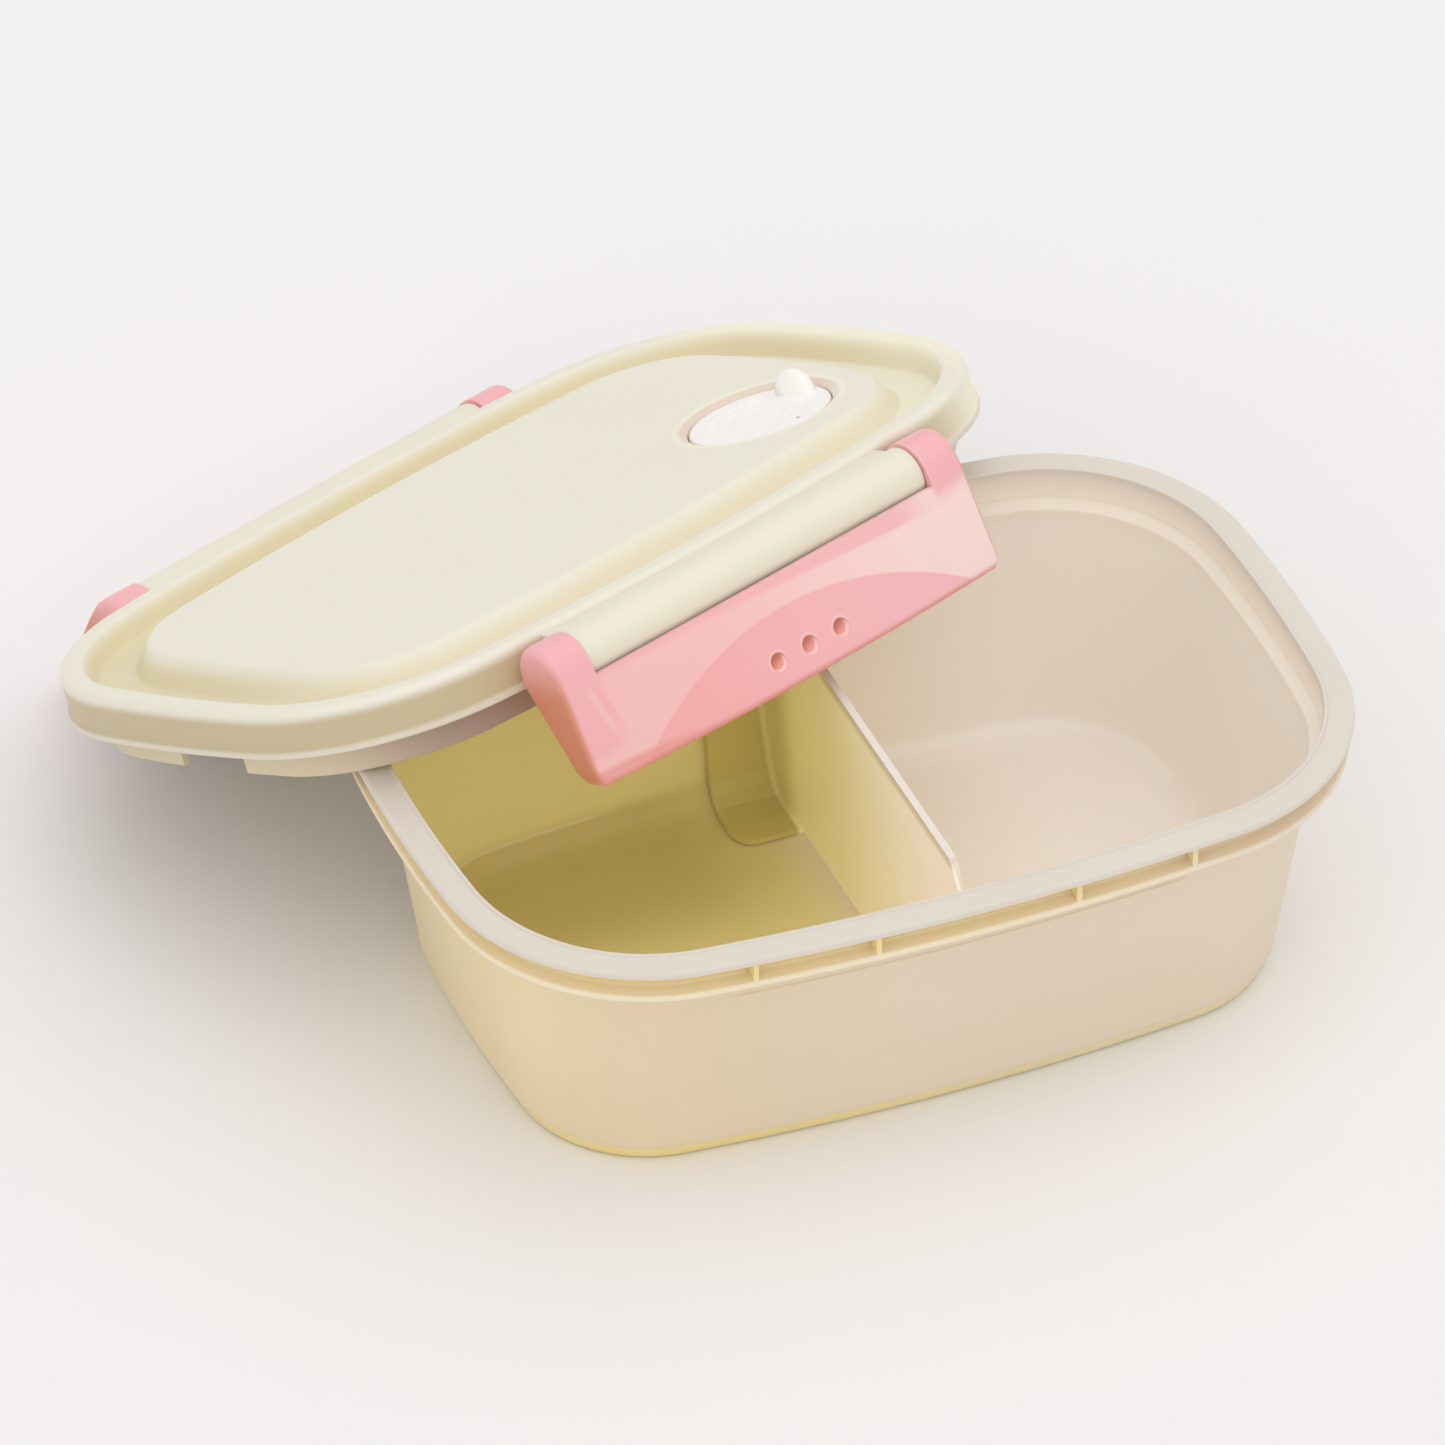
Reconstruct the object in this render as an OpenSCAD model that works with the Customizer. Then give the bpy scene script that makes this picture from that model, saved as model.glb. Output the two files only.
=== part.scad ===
// Lunch box with a clip-on lid, a removable divider and two hinged latches.
// The container stands on the table with its base at z = 0 and its long side along X.
// The lid is off the container: its front rests on the rim and its rear latch on the table.

/* [Container] */
// Length of the rim over its outer edge
rim_length = 200; // [170:1:230]
// Width of the rim over its outer edge
rim_width = 139.6; // [125:0.1:155]
// Height of the rim's top face above the table
container_height = 62; // [55:0.5:75]
// Radius of the rim's four corners
corner_radius = 45; // [38:0.5:50]
// Radius of the slight bulge of the short sides
short_side_radius = 339; // [280:1:600]
// Radius of the slight bulge of the long sides
long_side_radius = 562; // [450:1:900]
// Thickness of the tapered wall
wall = 1.8; // [1.2:0.1:2.2]
// Thickness of the floor
floor_thickness = 2; // [1.4:0.1:3]
// How far the foot stands in from the rim's outer edge
foot_inset = 17.4; // [14:0.2:20]
// How far the top of the tapered wall stands in from the rim's outer edge
wall_top_inset = 7.6; // [7.2:0.1:9]
// Radius where the wall turns into the foot
foot_round = 4; // [2:0.5:6]
// Radius where the inner wall turns into the floor
floor_round = 7; // [4:0.5:9]

/* [Rim] */
// Width of the flat rim
rim_band = 6.65; // [6:0.05:8]
// Thickness of the rim at its outer edge
rim_edge = 1.75; // [1.4:0.05:2.4]
// Height of the sealing ridge on the rim's inner edge
ridge_height = 0.5; // [0.3:0.1:0.7]
// Depth of the straight mouth below the rim, where the lid's plug ring goes
mouth_depth = 6.8; // [6.4:0.1:8]
// Top of the lower flange below the rim's top face
flange_drop = 6.6; // [6.2:0.1:7.6]
// Thickness of the lower flange
flange_thickness = 1.5; // [1.2:0.1:2]
// How far the lower flange stands in from the rim's outer edge
flange_inset = 1; // [0.6:0.1:2]
// Thickness of the wall behind the latch groove
groove_wall = 1.85; // [1.4:0.05:2.2]
// Thickness of the ribs in the latch groove
rib_thickness = 1.2; // [0.8:0.1:1.6]
// Distance of the inner ribs from the middle
inner_rib_x = 22.1; // [16:0.1:26]
// Distance of the outer ribs from the middle
outer_rib_x = 48.4; // [40:0.1:50]
// Length of the raised ledge under each latch
ledge_length = 104; // [80:1:106]
// Height of the raised ledge's upper edge below the rim's top face
ledge_drop = 15.4; // [14:0.2:20]
// Width of the raised ledge
ledge_width = 2.6; // [2:0.1:4]
// How far the ledge stands out from the wall
ledge_relief = 0.5; // [0.3:0.1:0.8]

/* [Divider] */
// Distance of the divider's foot from the middle of the container
divider_x = 6; // [-10:0.1:10]
// Lean of the divider
divider_lean = 4.1; // [0:0.1:6]
// Thickness of the divider's panel
divider_thickness = 1.6; // [1.2:0.1:2.4]
// Height of the divider's top edge above the container's floor
divider_height = 57.4; // [40:0.2:58]
// Drop of the sloped corners at the divider's top
divider_corner_drop = 11.5; // [8:0.5:16]
// Run of the sloped corners at the divider's top
divider_corner_run = 9.4; // [6:0.2:12]
// Reach of the divider's end flanges to each side
divider_flange_reach = 12.4; // [8:0.2:16]
// Thickness of the divider's end flanges
divider_flange = 1.3; // [1:0.1:1.8]
// Length of the flanges' feet along the floor
divider_foot_length = 13.5; // [10:0.5:20]
// Gap between the divider and the container
divider_gap = 0.6; // [0.4:0.1:1.5]

/* [Lid] */
// How far the lid's side stands in from the rim's outer edge
lid_inset = 3.2; // [2.6:0.1:3.4]
// Height of the lid's side
skirt_height = 9.8; // [9.4:0.1:11]
// Thickness of the lid's side and top
lid_wall = 1.8; // [1.4:0.1:2.2]
// Height of the bead along the lid's lower edge
bead_height = 1.3; // [1:0.1:2]
// How far the bead stands out
bead_relief = 0.6; // [0.3:0.1:1]
// Depth of the gutter between the lid's rim and its raised middle
gutter_depth = 5.2; // [4:0.1:5.6]
// Height of the raised middle over the lid's rim
plateau_rise = 0.9; // [0:0.1:3]
// How far the foot of the raised middle stands in from the lid's side
plateau_foot_inset = 15.4; // [13:0.1:18]
// Run of the slope of the raised middle
plateau_slope_run = 4; // [2:0.1:6]
// Distance of the plug ring from the lid's side
plug_ring_inset = 6.5; // [6:0.1:7.5]
// Thickness of the plug ring
plug_ring_wall = 1.4; // [1:0.1:1.8]
// Length of the plug ring below the lid's side
plug_ring_drop = 7; // [4:0.1:7.4]
// Width of the notches at the ends of the plug ring
notch_width = 22; // [12:0.5:30]
// Height of the sealing ring
seal_height = 4; // [3:0.1:4.6]
// Gap round the sealing ring in its groove
seal_gap = 0.15; // [0.1:0.05:0.4]

/* [Vent] */
// Distance of the vent's middle from the end of the box
vent_from_end = 46.2; // [44:0.1:56]
// Distance of the vent's middle from the front of the box
vent_from_side = 51; // [50:0.1:60]
// Radius of the vent plug
vent_plug_radius = 15.1; // [12:0.1:16]
// Radius of the recess at the surface
vent_recess_radius = 17.6; // [16.6:0.1:19]
// Depth of the recess under the vent plug
vent_recess_depth = 3; // [2.4:0.1:3.6]
// Radius of the steam hole
vent_hole_radius = 4; // [2.5:0.1:6]
// Running gap of the plug's stem in the steam hole
vent_stem_gap = 0.08; // [0.04:0.01:0.1]
// Height of the pull tab
tab_height = 6; // [4:0.1:9]
// Width of the pull tab
tab_width = 9.8; // [6:0.1:10]
// Distance of the pull tab from the plug's edge
tab_inset = 3.8; // [3:0.1:8]
// Turn of the pull tab round the plug
tab_turn = -9; // [-180:1:180]

/* [Latches] */
// Length of the hinge barrel between the latch arms
barrel_length = 93.4; // [80:0.2:94]
// Radius of the hinge barrel
barrel_radius = 6; // [5:0.1:6.2]
// Distance of the front hinge axis beyond the container's rim
front_hinge_reach = 2.6; // [2:0.1:4.2]
// Distance of the rear hinge axis beyond the container's rim
rear_hinge_reach = 0.2; // [0:0.1:4.2]
// Depth of the hinge axis below the lid's rim
hinge_drop = 6; // [5.4:0.1:6.4]
// Radius of the latch arms round the hinge axis
arm_radius = 6.5; // [6:0.1:6.6]
// Width of the latch arms
arm_width = 9.3; // [7:0.1:10]
// Side gap between the arms and the barrel
arm_gap = 0.35; // [0.3:0.05:0.8]
// Radius of the latch's hinge pins
pin_radius = 1.8; // [1.2:0.1:2.4]
// Length of the latch's hinge pins
pin_length = 4; // [2.5:0.1:6]
// Running gap of the pins in their sockets
pin_gap = 0.06; // [0.02:0.01:0.1]
// Height of the latch below the hinge axis
latch_drop = 24.2; // [22:0.1:28]
// Thickness of the latch's face and side walls
latch_wall = 1.6; // [1.2:0.1:1.6]
// Distance of the latch's face from the hinge axis at its top
face_top_reach = 7.4; // [7.3:0.1:8]
// Distance of the latch's face from the hinge axis at its lower edge
face_bottom_reach = 10.6; // [9:0.1:12]
// Bulge of the latch's lower edge in its middle
face_bulge = 3; // [0:0.1:4]
// Depth of the latch's sides at the lower edge
side_bottom_depth = 6.5; // [4:0.1:9]
// Turn of the latch from its shut position
front_latch_turn = 0; // [0:1:90]
// Turn of the rear latch from its shut position
rear_latch_turn = 38; // [0:0.5:90]
// Radius of the three finger dimples
dimple_radius = 1.9; // [1:0.1:2.4]
// Depth of the finger dimples
dimple_depth = 0.7; // [0.3:0.1:0.8]
// Spacing of the finger dimples
dimple_pitch = 8.7; // [6:0.1:12]
// Distance of the finger dimples below the hinge axis
dimple_drop = 16.5; // [12:0.1:19]

/* [Lid placing] */
// Lean of the lid towards its rear latch
lid_lean = 25.27; // [20:0.01:30]
// Turn of the lid on the table
lid_turn = 20.22; // [15:0.01:25]
// Side tilt of the lid
lid_tilt = 0.87; // [-2:0.01:2]
// Place of the lid's middle along X
lid_x = -37; // [-60:0.1:-10]
// Place of the lid's middle along Y
lid_y = 90.1; // [70:0.1:120]
// Height of the lid's rim at its middle
lid_z = 58.8; // [40:0.1:90]

/* [Hidden] */
$fn = 48;
eps = 0.01;

// ---------- Outline shared by the rim, the wall and the lid ----------

half_length = rim_length / 2;
half_width = rim_width / 2;
front_hinge_y = half_width + front_hinge_reach;
rear_hinge_y = half_width + rear_hinge_reach;
vent_x = half_length - vent_from_end;
vent_y = half_width - vent_from_side;
short_center = [half_length - short_side_radius, 0];
long_center = [0, half_width - long_side_radius];
center_line = long_center - short_center;
center_gap = norm(center_line);
center_dir = center_line / center_gap;
short_reach = short_side_radius - corner_radius;
long_reach = long_side_radius - corner_radius;
along = (short_reach * short_reach - long_reach * long_reach + center_gap * center_gap) / (2 * center_gap);
across = sqrt(short_reach * short_reach - along * along);
corner_center = short_center + along * center_dir + across * [-center_dir[1], center_dir[0]];
short_end = atan2(corner_center[1] - short_center[1], corner_center[0] - short_center[0]);
long_start = atan2(corner_center[1] - long_center[1], corner_center[0] - long_center[0]);
short_steps = 3;
corner_steps = 12;
long_steps = 5;

function arc(center, radius, from, to, steps, last) =
    [for (k = [0:steps - 1 + last]) let (a = from + (to - from) * k / steps)
        center + radius * [cos(a), sin(a)]];

// A quarter of the outline, set in from the rim's outer edge, from the +X end to the +Y side.
function quarter(inset) = concat(
    arc(short_center, short_side_radius - inset, 0, short_end, short_steps, 0),
    arc(corner_center, corner_radius - inset, short_end, long_start, corner_steps, 0),
    arc(long_center, long_side_radius - inset, long_start, 90, long_steps, 1));

function outline(inset) = let (q = quarter(inset), n = len(q)) concat(
    q,
    [for (k = [n - 2:-1:0]) [-q[k][0], q[k][1]]],
    [for (k = [1:n - 1]) -q[k]],
    [for (k = [n - 2:-1:1]) [q[k][0], -q[k][1]]]);

// Distance of the long side from the middle, at a given x and inset.
function side_y(x, inset) =
    long_center[1] + sqrt(pow(long_side_radius - inset, 2) - x * x);

// Solid through a stack of outlines, each [inset, z], closed by flat caps at both ends.
module loft(section) {
    count = len(outline(0));
    last = len(section) - 1;
    points = [for (s = section) for (p = outline(s[0])) [p[0], p[1], s[1]]];
    sides = [for (j = [0:last - 1]) for (k = [0:count - 1]) let (m = (k + 1) % count)
        [j * count + k, (j + 1) * count + k, (j + 1) * count + m, j * count + m]];
    bottom = [for (k = [0:count - 1]) k];
    top = [for (k = [count - 1:-1:0]) last * count + k];
    polyhedron(points, concat([bottom, top], sides), convexity = 8);
}

// Ring whose closed section, a list of [inset, z], follows the outline.
module loft_ring(section) {
    count = len(outline(0));
    rows = len(section);
    points = [for (s = section) for (p = outline(s[0])) [p[0], p[1], s[1]]];
    sides = [for (j = [0:rows - 1]) for (k = [0:count - 1])
        let (m = (k + 1) % count, i = (j + 1) % rows)
        [j * count + k, i * count + k, i * count + m, j * count + m]];
    polyhedron(points, sides, convexity = 8);
}

// Bar along the front long side: a closed section of [inset, z], swept from -reach to reach.
module front_bar(reach, section, steps) {
    rows = len(section);
    points = [for (k = [0:steps]) let (x = -reach + 2 * reach * k / steps)
        for (s = section) [x, -side_y(x, s[0]), s[1]]];
    sides = [for (k = [0:steps - 1]) for (j = [0:rows - 1]) let (i = (j + 1) % rows)
        [k * rows + j, k * rows + i, (k + 1) * rows + i, (k + 1) * rows + j]];
    start = [for (j = [rows - 1:-1:0]) j];
    end = [for (j = [0:rows - 1]) steps * rows + j];
    polyhedron(points, concat([start, end], sides), convexity = 4);
}

module front_and_rear() {
    children();
    mirror([0, 1, 0]) children();
}

// ---------- Container ----------

rim_top = container_height;
rim_under = rim_top - rim_edge;
flange_top = rim_top - flange_drop;
flange_under = flange_top - flange_thickness;
groove_inset = rim_band - groove_wall;
wall_slope = (foot_inset - foot_round / 2 - wall_top_inset) / (flange_under - foot_round - 1);
ridge_width = 1.3;
edge_round = 0.4;
ledge_top = rim_top - ledge_drop;

// Inset of the tapered wall's outer face at height z.
function wall_inset(z) = wall_top_inset + (flange_under - z) * wall_slope;

module container_shell() {
    step_top = rim_top - mouth_depth;
    step_bottom = step_top - 1;
    inner_low = fillet_top;
    inner_low_inset = wall_inset(inner_low) + wall;
    loft([
        [foot_inset + 0.6, 0],
        [foot_inset, 0.5],
        [foot_inset - 0.25 * foot_round * 0.5, 0.35 * foot_round],
        [foot_inset - 0.65 * foot_round * 0.5, 0.75 * foot_round],
        [wall_inset(foot_round + 1), foot_round + 1],
        [wall_top_inset, flange_under],
        [flange_inset + edge_round, flange_under],
        [flange_inset, flange_under + edge_round],
        [flange_inset, flange_top - edge_round],
        [flange_inset + edge_round, flange_top],
        [groove_inset, flange_top],
        [groove_inset, rim_under],
        [edge_round, rim_under],
        [0, rim_under + edge_round],
        [0, rim_top - edge_round],
        [edge_round, rim_top],
        [rim_band - ridge_width, rim_top],
        [rim_band - ridge_width + 0.3, rim_top + ridge_height],
        [rim_band - 0.3, rim_top + ridge_height],
        [rim_band, rim_top],
        [rim_band, step_top],
        [wall_inset(step_bottom) + wall, step_bottom],
        for (k = [3:-1:0]) [inner_low_inset + fillet[k][0] * floor_round,
            floor_thickness + fillet[k][1] * floor_round]]);
}

module groove_rib(x) {
    outer = side_y(abs(x) + rib_thickness / 2, flange_inset + 0.3);
    inner = side_y(abs(x) - rib_thickness / 2, groove_inset + groove_wall / 2);
    translate([x - rib_thickness / 2, -outer, flange_top - eps])
        cube([rib_thickness, outer - inner, rim_under - flange_top + 2 * eps]);
}

module latch_ledge() {
    low = ledge_top - ledge_width;
    front_bar(ledge_length / 2, [
        [wall_inset(ledge_top) + wall / 2, ledge_top],
        [wall_inset(low) + wall / 2, low],
        [wall_inset(low) - ledge_relief + 0.2, low],
        [wall_inset(low + 0.3) - ledge_relief, low + 0.3],
        [wall_inset(ledge_top - 0.3) - ledge_relief, ledge_top - 0.3],
        [wall_inset(ledge_top) - ledge_relief + 0.2, ledge_top]], 10);
}

module container() {
    color("#e6d9b4") {
        container_shell();
        front_and_rear() {
            for (x = [-outer_rib_x, -inner_rib_x, inner_rib_x, outer_rib_x]) groove_rib(x);
            latch_ledge();
        }
    }
}

// ---------- Divider ----------

// Turn of the inner wall into the floor, as parts of floor_round: [inset, height].
fillet = [[1, 0], [0.5, 0.08], [0.2, 0.32], [0, 0.75]];
fillet_top = floor_thickness + fillet[3][1] * floor_round;

// Distance of the inner wall from the middle beside the divider, at height z, less an inset.
function inner_y(z, inset) =
    side_y(divider_flange_reach + 8, wall_inset(max(z, fillet_top)) + wall + inset);

// Path of a flange, as [y, z]: along the floor, round the fillet and up the wall.
function flange_path(gap) = let (
    top = floor_thickness + divider_height - divider_corner_drop,
    foot_y = inner_y(0, 0.5 * floor_round) - divider_foot_length,
    foot_z = floor_thickness + divider_gap / 2 + gap)
    concat(
        [[foot_y, foot_z]],
        [for (f = fillet) [inner_y(0, f[0] * floor_round + divider_gap + gap),
            foot_z + f[1] * floor_round]],
        [[inner_y(top, divider_gap + gap), top]]);

// Block of the panel's side view, cut to its thickness along the lean.
module divider_panel() {
    path = flange_path(divider_flange / 2);
    top = floor_thickness + divider_height;
    corner_y = path[len(path) - 1][0] - divider_corner_run + 1;
    half = concat(path, [[corner_y, top]]);
    count = len(half);
    intersection() {
        rotate([90, 0, 90]) translate([0, 0, -rim_length / 8]) linear_extrude(rim_length / 4)
            polygon(concat(half, [for (k = [count - 1:-1:0]) [-half[k][0], half[k][1]]]));
        translate([divider_x, 0, floor_thickness]) rotate([0, -divider_lean, 0])
            cube([divider_thickness, rim_width, 3 * container_height], center = true);
    }
}

module divider_flange_plate() {
    near = flange_path(0);
    far = flange_path(divider_flange);
    count = len(near);
    corner = 5;
    straight = divider_flange_reach - corner;
    translate([divider_x - tan(divider_lean) * divider_height / 2 - 0.8, 0, 0])
        intersection() {
            rotate([90, 0, 90]) translate([0, 0, -divider_flange_reach])
                linear_extrude(2 * divider_flange_reach)
                    polygon(concat(near, [for (k = [count - 1:-1:0]) far[k]]));
            translate([0, near[0][0], 0]) {
                for (side = [-1, 1]) translate([side * straight, corner, 0])
                    cylinder(r = corner, h = container_height);
                translate([-straight, 0, 0]) cube([2 * straight, half_width, container_height]);
                translate([-divider_flange_reach, corner, 0])
                    cube([2 * divider_flange_reach, half_width, container_height]);
            }
        }
}

module divider() {
    color("#e8dcb8") {
        divider_panel();
        front_and_rear() divider_flange_plate();
    }
}

// ---------- Lid, in its own place: rim's top at z = 0, middle at the origin ----------

skirt_under = -skirt_height;
gutter_floor = -gutter_depth;
gutter_under = gutter_floor - lid_wall;
ring_under = skirt_under - plug_ring_drop;
ring_inner_inset = plug_ring_inset + plug_ring_wall;
crest_round = 1.6;
groove_top = -2.2;
slope_top_inset = plateau_foot_inset + plateau_slope_run;
barrel_under = skirt_under + 0.2;

function lid_ring(inset, z) = [lid_inset + inset, z];

module lid_shell() {
    loft([
        lid_ring(slope_top_inset + 4, plateau_rise - lid_wall),
        lid_ring(slope_top_inset + 1.6, plateau_rise - lid_wall),
        lid_ring(slope_top_inset + 0.4, plateau_rise - lid_wall - 0.8),
        lid_ring(plateau_foot_inset + 1.8, gutter_under + 0.8),
        lid_ring(plateau_foot_inset + 0.8, gutter_under),
        lid_ring(ring_inner_inset + 0.6, gutter_under),
        lid_ring(ring_inner_inset, gutter_under - 0.6),
        lid_ring(ring_inner_inset, ring_under + 0.3),
        lid_ring(ring_inner_inset - 0.3, ring_under),
        lid_ring(plug_ring_inset + 0.4, ring_under),
        lid_ring(plug_ring_inset, ring_under + 0.4),
        lid_ring(plug_ring_inset, gutter_under - 0.6),
        lid_ring(plug_ring_inset - 1.7, groove_top - 0.4),
        lid_ring(plug_ring_inset - 2.1, groove_top),
        lid_ring(lid_wall + 0.4, groove_top),
        lid_ring(lid_wall, groove_top - 0.5),
        lid_ring(lid_wall, skirt_under),
        lid_ring(-bead_relief + 0.3, skirt_under),
        lid_ring(-bead_relief, skirt_under + 0.3),
        lid_ring(-bead_relief, skirt_under + bead_height - 0.3),
        lid_ring(0, skirt_under + bead_height),
        lid_ring(0, -crest_round),
        lid_ring(crest_round * 0.13, -crest_round * 0.5),
        lid_ring(crest_round * 0.5, -crest_round * 0.13),
        lid_ring(crest_round, 0),
        lid_ring(crest_round + 2.4, 0),
        lid_ring(crest_round + 3.4, -0.4),
        lid_ring(crest_round + 4.1, -1.3),
        lid_ring(7.2, gutter_floor + 0.6),
        lid_ring(8, gutter_floor),
        lid_ring(plateau_foot_inset - 0.4, gutter_floor),
        lid_ring(plateau_foot_inset + 0.5, gutter_floor + 0.7),
        lid_ring(slope_top_inset - 0.5, plateau_rise - 0.9),
        lid_ring(slope_top_inset + 0.3, plateau_rise - 0.2),
        lid_ring(slope_top_inset + 1.4, plateau_rise)]);
}

// Hinge barrel along the front side, with the web that joins it to the lid's side.
module hinge_barrel(hinge_y) {
    half = barrel_length / 2;
    web_top = -1.1;
    difference() {
        translate([-half, -hinge_y, -hinge_drop]) rotate([0, 90, 0])
            cylinder(r = barrel_radius, h = barrel_length, $fn = 64);
        loft([lid_ring(0.9, -20), lid_ring(0.9, 20)]);
        translate([-half - 1, -hinge_y - barrel_radius - 1, barrel_under - barrel_radius])
            cube([barrel_length + 2, 2 * barrel_radius + 2, barrel_radius]);
    }
    intersection() {
        front_bar(half, [
            [lid_inset + 0.9, web_top],
            [lid_inset + 0.9, barrel_under],
            [-half_width, barrel_under],
            [-half_width, web_top]], 10);
        translate([-half, -hinge_y, barrel_under])
            cube([barrel_length, hinge_y, web_top - barrel_under]);
    }
}

module pin_socket(hinge_y) {
    depth = pin_length + 0.4;
    for (side = [-1, 1])
        translate([side * (barrel_length / 2 - depth / 2 + 0.5), -hinge_y, -hinge_drop])
            rotate([0, 90, 0])
                cylinder(r = pin_radius + pin_gap, h = depth + 1, center = true);
}

// Scallops in the lid's side, where the latch arms turn.
module arm_pockets(hinge_y) {
    for (side = [0, 1]) mirror([side, 0, 0])
        translate([barrel_length / 2, -hinge_y, -hinge_drop]) rotate([0, 90, 0])
            cylinder(r = arm_radius + arm_gap, h = arm_width + 3 * arm_gap, $fn = 64);
}

module vent_recess() {
    translate([vent_x, -vent_y, plateau_rise - vent_recess_depth]) {
        cylinder(r = vent_plug_radius + 0.5, h = vent_recess_depth + 1, $fn = 72);
        translate([0, 0, vent_recess_depth - 1])
            cylinder(r1 = vent_plug_radius + 0.5, r2 = vent_recess_radius, h = 1 + eps, $fn = 72);
        translate([0, 0, -5]) cylinder(r = vent_hole_radius, h = 6);
    }
}

// Cup that carries the recess below the raised middle.
module vent_cup() {
    translate([vent_x, -vent_y, plateau_rise - vent_recess_depth - 1.5])
        cylinder(r = vent_plug_radius + 2, h = vent_recess_depth + 1, $fn = 72);
}

module ring_notches() {
    reach = half_length - lid_inset;
    for (side = [-1, 1])
        translate([side * (reach - ring_inner_inset / 2 - plug_ring_inset / 2), 0, skirt_under - 10.2])
            cube([plug_ring_wall + 5, notch_width, 20], center = true);
}

module lid_body() {
    difference() {
        union() {
            difference() {
                lid_shell();
                arm_pockets(front_hinge_y);
                mirror([0, 1, 0]) arm_pockets(rear_hinge_y);
            }
            hinge_barrel(front_hinge_y);
            mirror([0, 1, 0]) hinge_barrel(rear_hinge_y);
            vent_cup();
        }
        pin_socket(front_hinge_y);
        mirror([0, 1, 0]) pin_socket(rear_hinge_y);
        vent_recess();
        ring_notches();
    }
}

module lid_seal_body() {
    low = skirt_under + 0.6;
    high = low + seal_height;
    loft_ring([
        lid_ring(lid_wall + seal_gap, low + 0.5),
        lid_ring(lid_wall + seal_gap, high),
        lid_ring(plug_ring_inset - 1.2 - seal_gap, high),
        lid_ring(plug_ring_inset - 0.3 - seal_gap, low + 1.6),
        lid_ring(plug_ring_inset - seal_gap, low + 0.4),
        lid_ring(plug_ring_inset - 0.6, low),
        lid_ring((lid_wall + plug_ring_inset) / 2, low + 0.3),
        lid_ring(lid_wall + 0.6, low)]);
}

module vent_plug_body() {
    seat = plateau_rise - vent_recess_depth + 0.2;
    cap_top = plateau_rise - 0.7;
    translate([vent_x, -vent_y, 0]) {
        rotate_extrude($fn = 72) polygon([
            [0, seat - 3.4],
            [vent_hole_radius - vent_stem_gap - 0.6, seat - 3.4],
            [vent_hole_radius - vent_stem_gap, seat - 2.8],
            [vent_hole_radius - vent_stem_gap, seat],
            [vent_plug_radius - 0.3, seat],
            [vent_plug_radius, seat + 0.3],
            [vent_plug_radius, cap_top - 0.5],
            [vent_plug_radius - 0.5, cap_top],
            [0, cap_top]]);
        rotate([0, 0, tab_turn])
            translate([vent_plug_radius - tab_inset, 0, cap_top - 0.5]) hull() {
            cylinder(r = 1.6, h = tab_height * 0.5, $fn = 24);
            for (side = [-1, 1]) {
                translate([0, side * (tab_width / 2 - 1.5), 0])
                    cylinder(r = 1.5, h = tab_height * 0.45, $fn = 24);
                translate([0, side * (tab_width / 2 - 3.4), tab_height - 1.6])
                    sphere(r = 1.6, $fn = 24);
            }
        }
    }
}

// ---------- Latch, shut, with the hinge axis on the X axis and its face towards -Y ----------

arm_inner = barrel_length / 2 + arm_gap;
latch_half = arm_inner + arm_width;
face_top = -2.6;
hook_gap = 0.75;
hook_width = 2.3;
rib_gap = 1.4;

function bulge(x, t) = face_bulge * t * (1 - pow(x / latch_half, 2));
function reach(t) = face_top_reach + (face_bottom_reach - face_top_reach) * t;

// Side view of a latch end: round the hinge axis, then down to the lower edge, as [y, z].
module latch_side() {
    proud = 0.15;
    hull() {
        circle(r = arm_radius, $fn = 64);
        translate([-face_top_reach - proud + 0.5, face_top]) circle(r = 0.5, $fn = 32);
        translate([-face_bottom_reach - proud + 0.6, -latch_drop - proud + 0.6])
            circle(r = 0.6, $fn = 32);
        translate([-face_bottom_reach + side_bottom_depth - 2.4, -latch_drop + 2.4])
            circle(r = 2.4, $fn = 32);
    }
}

// A plate of the latch between two x positions, in the latch's side view.
module across_latch(from, width) {
    translate([from, 0, 0]) rotate([90, 0, 90]) linear_extrude(width) children();
}

// Face between the arms: straight at its top, bulging towards its lower edge.
module latch_face() {
    columns = 16;
    rows = 6;
    half = latch_half - 0.6;
    points = [for (side = [0, 1]) for (k = [0:columns]) for (j = [0:rows])
        let (x = -half + 2 * half * k / columns, t = j / rows)
        [x, -reach(t) - bulge(x, t) + side * latch_wall,
            face_top - (latch_drop + face_top) * t]];
    grid = (columns + 1) * (rows + 1);
    function id(side, k, j) = side * grid + k * (rows + 1) + j;
    function halves(a, b, c, d) = [[a, b, c], [a, c, d]];
    faces = [
        for (k = [0:columns - 1]) for (j = [0:rows - 1])
            each halves(id(0, k, j), id(0, k + 1, j), id(0, k + 1, j + 1), id(0, k, j + 1)),
        for (k = [0:columns - 1]) for (j = [0:rows - 1])
            each halves(id(1, k, j), id(1, k, j + 1), id(1, k + 1, j + 1), id(1, k + 1, j)),
        for (k = [0:columns - 1])
            each halves(id(0, k, 0), id(1, k, 0), id(1, k + 1, 0), id(0, k + 1, 0)),
        for (k = [0:columns - 1])
            each halves(id(0, k, rows), id(0, k + 1, rows), id(1, k + 1, rows), id(1, k, rows)),
        for (j = [0:rows - 1])
            each halves(id(0, 0, j), id(0, 0, j + 1), id(1, 0, j + 1), id(1, 0, j)),
        for (j = [0:rows - 1])
            each halves(id(0, columns, j), id(1, columns, j), id(1, columns, j + 1),
                id(0, columns, j + 1))];
    polyhedron(points, faces, convexity = 6);
}

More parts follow.
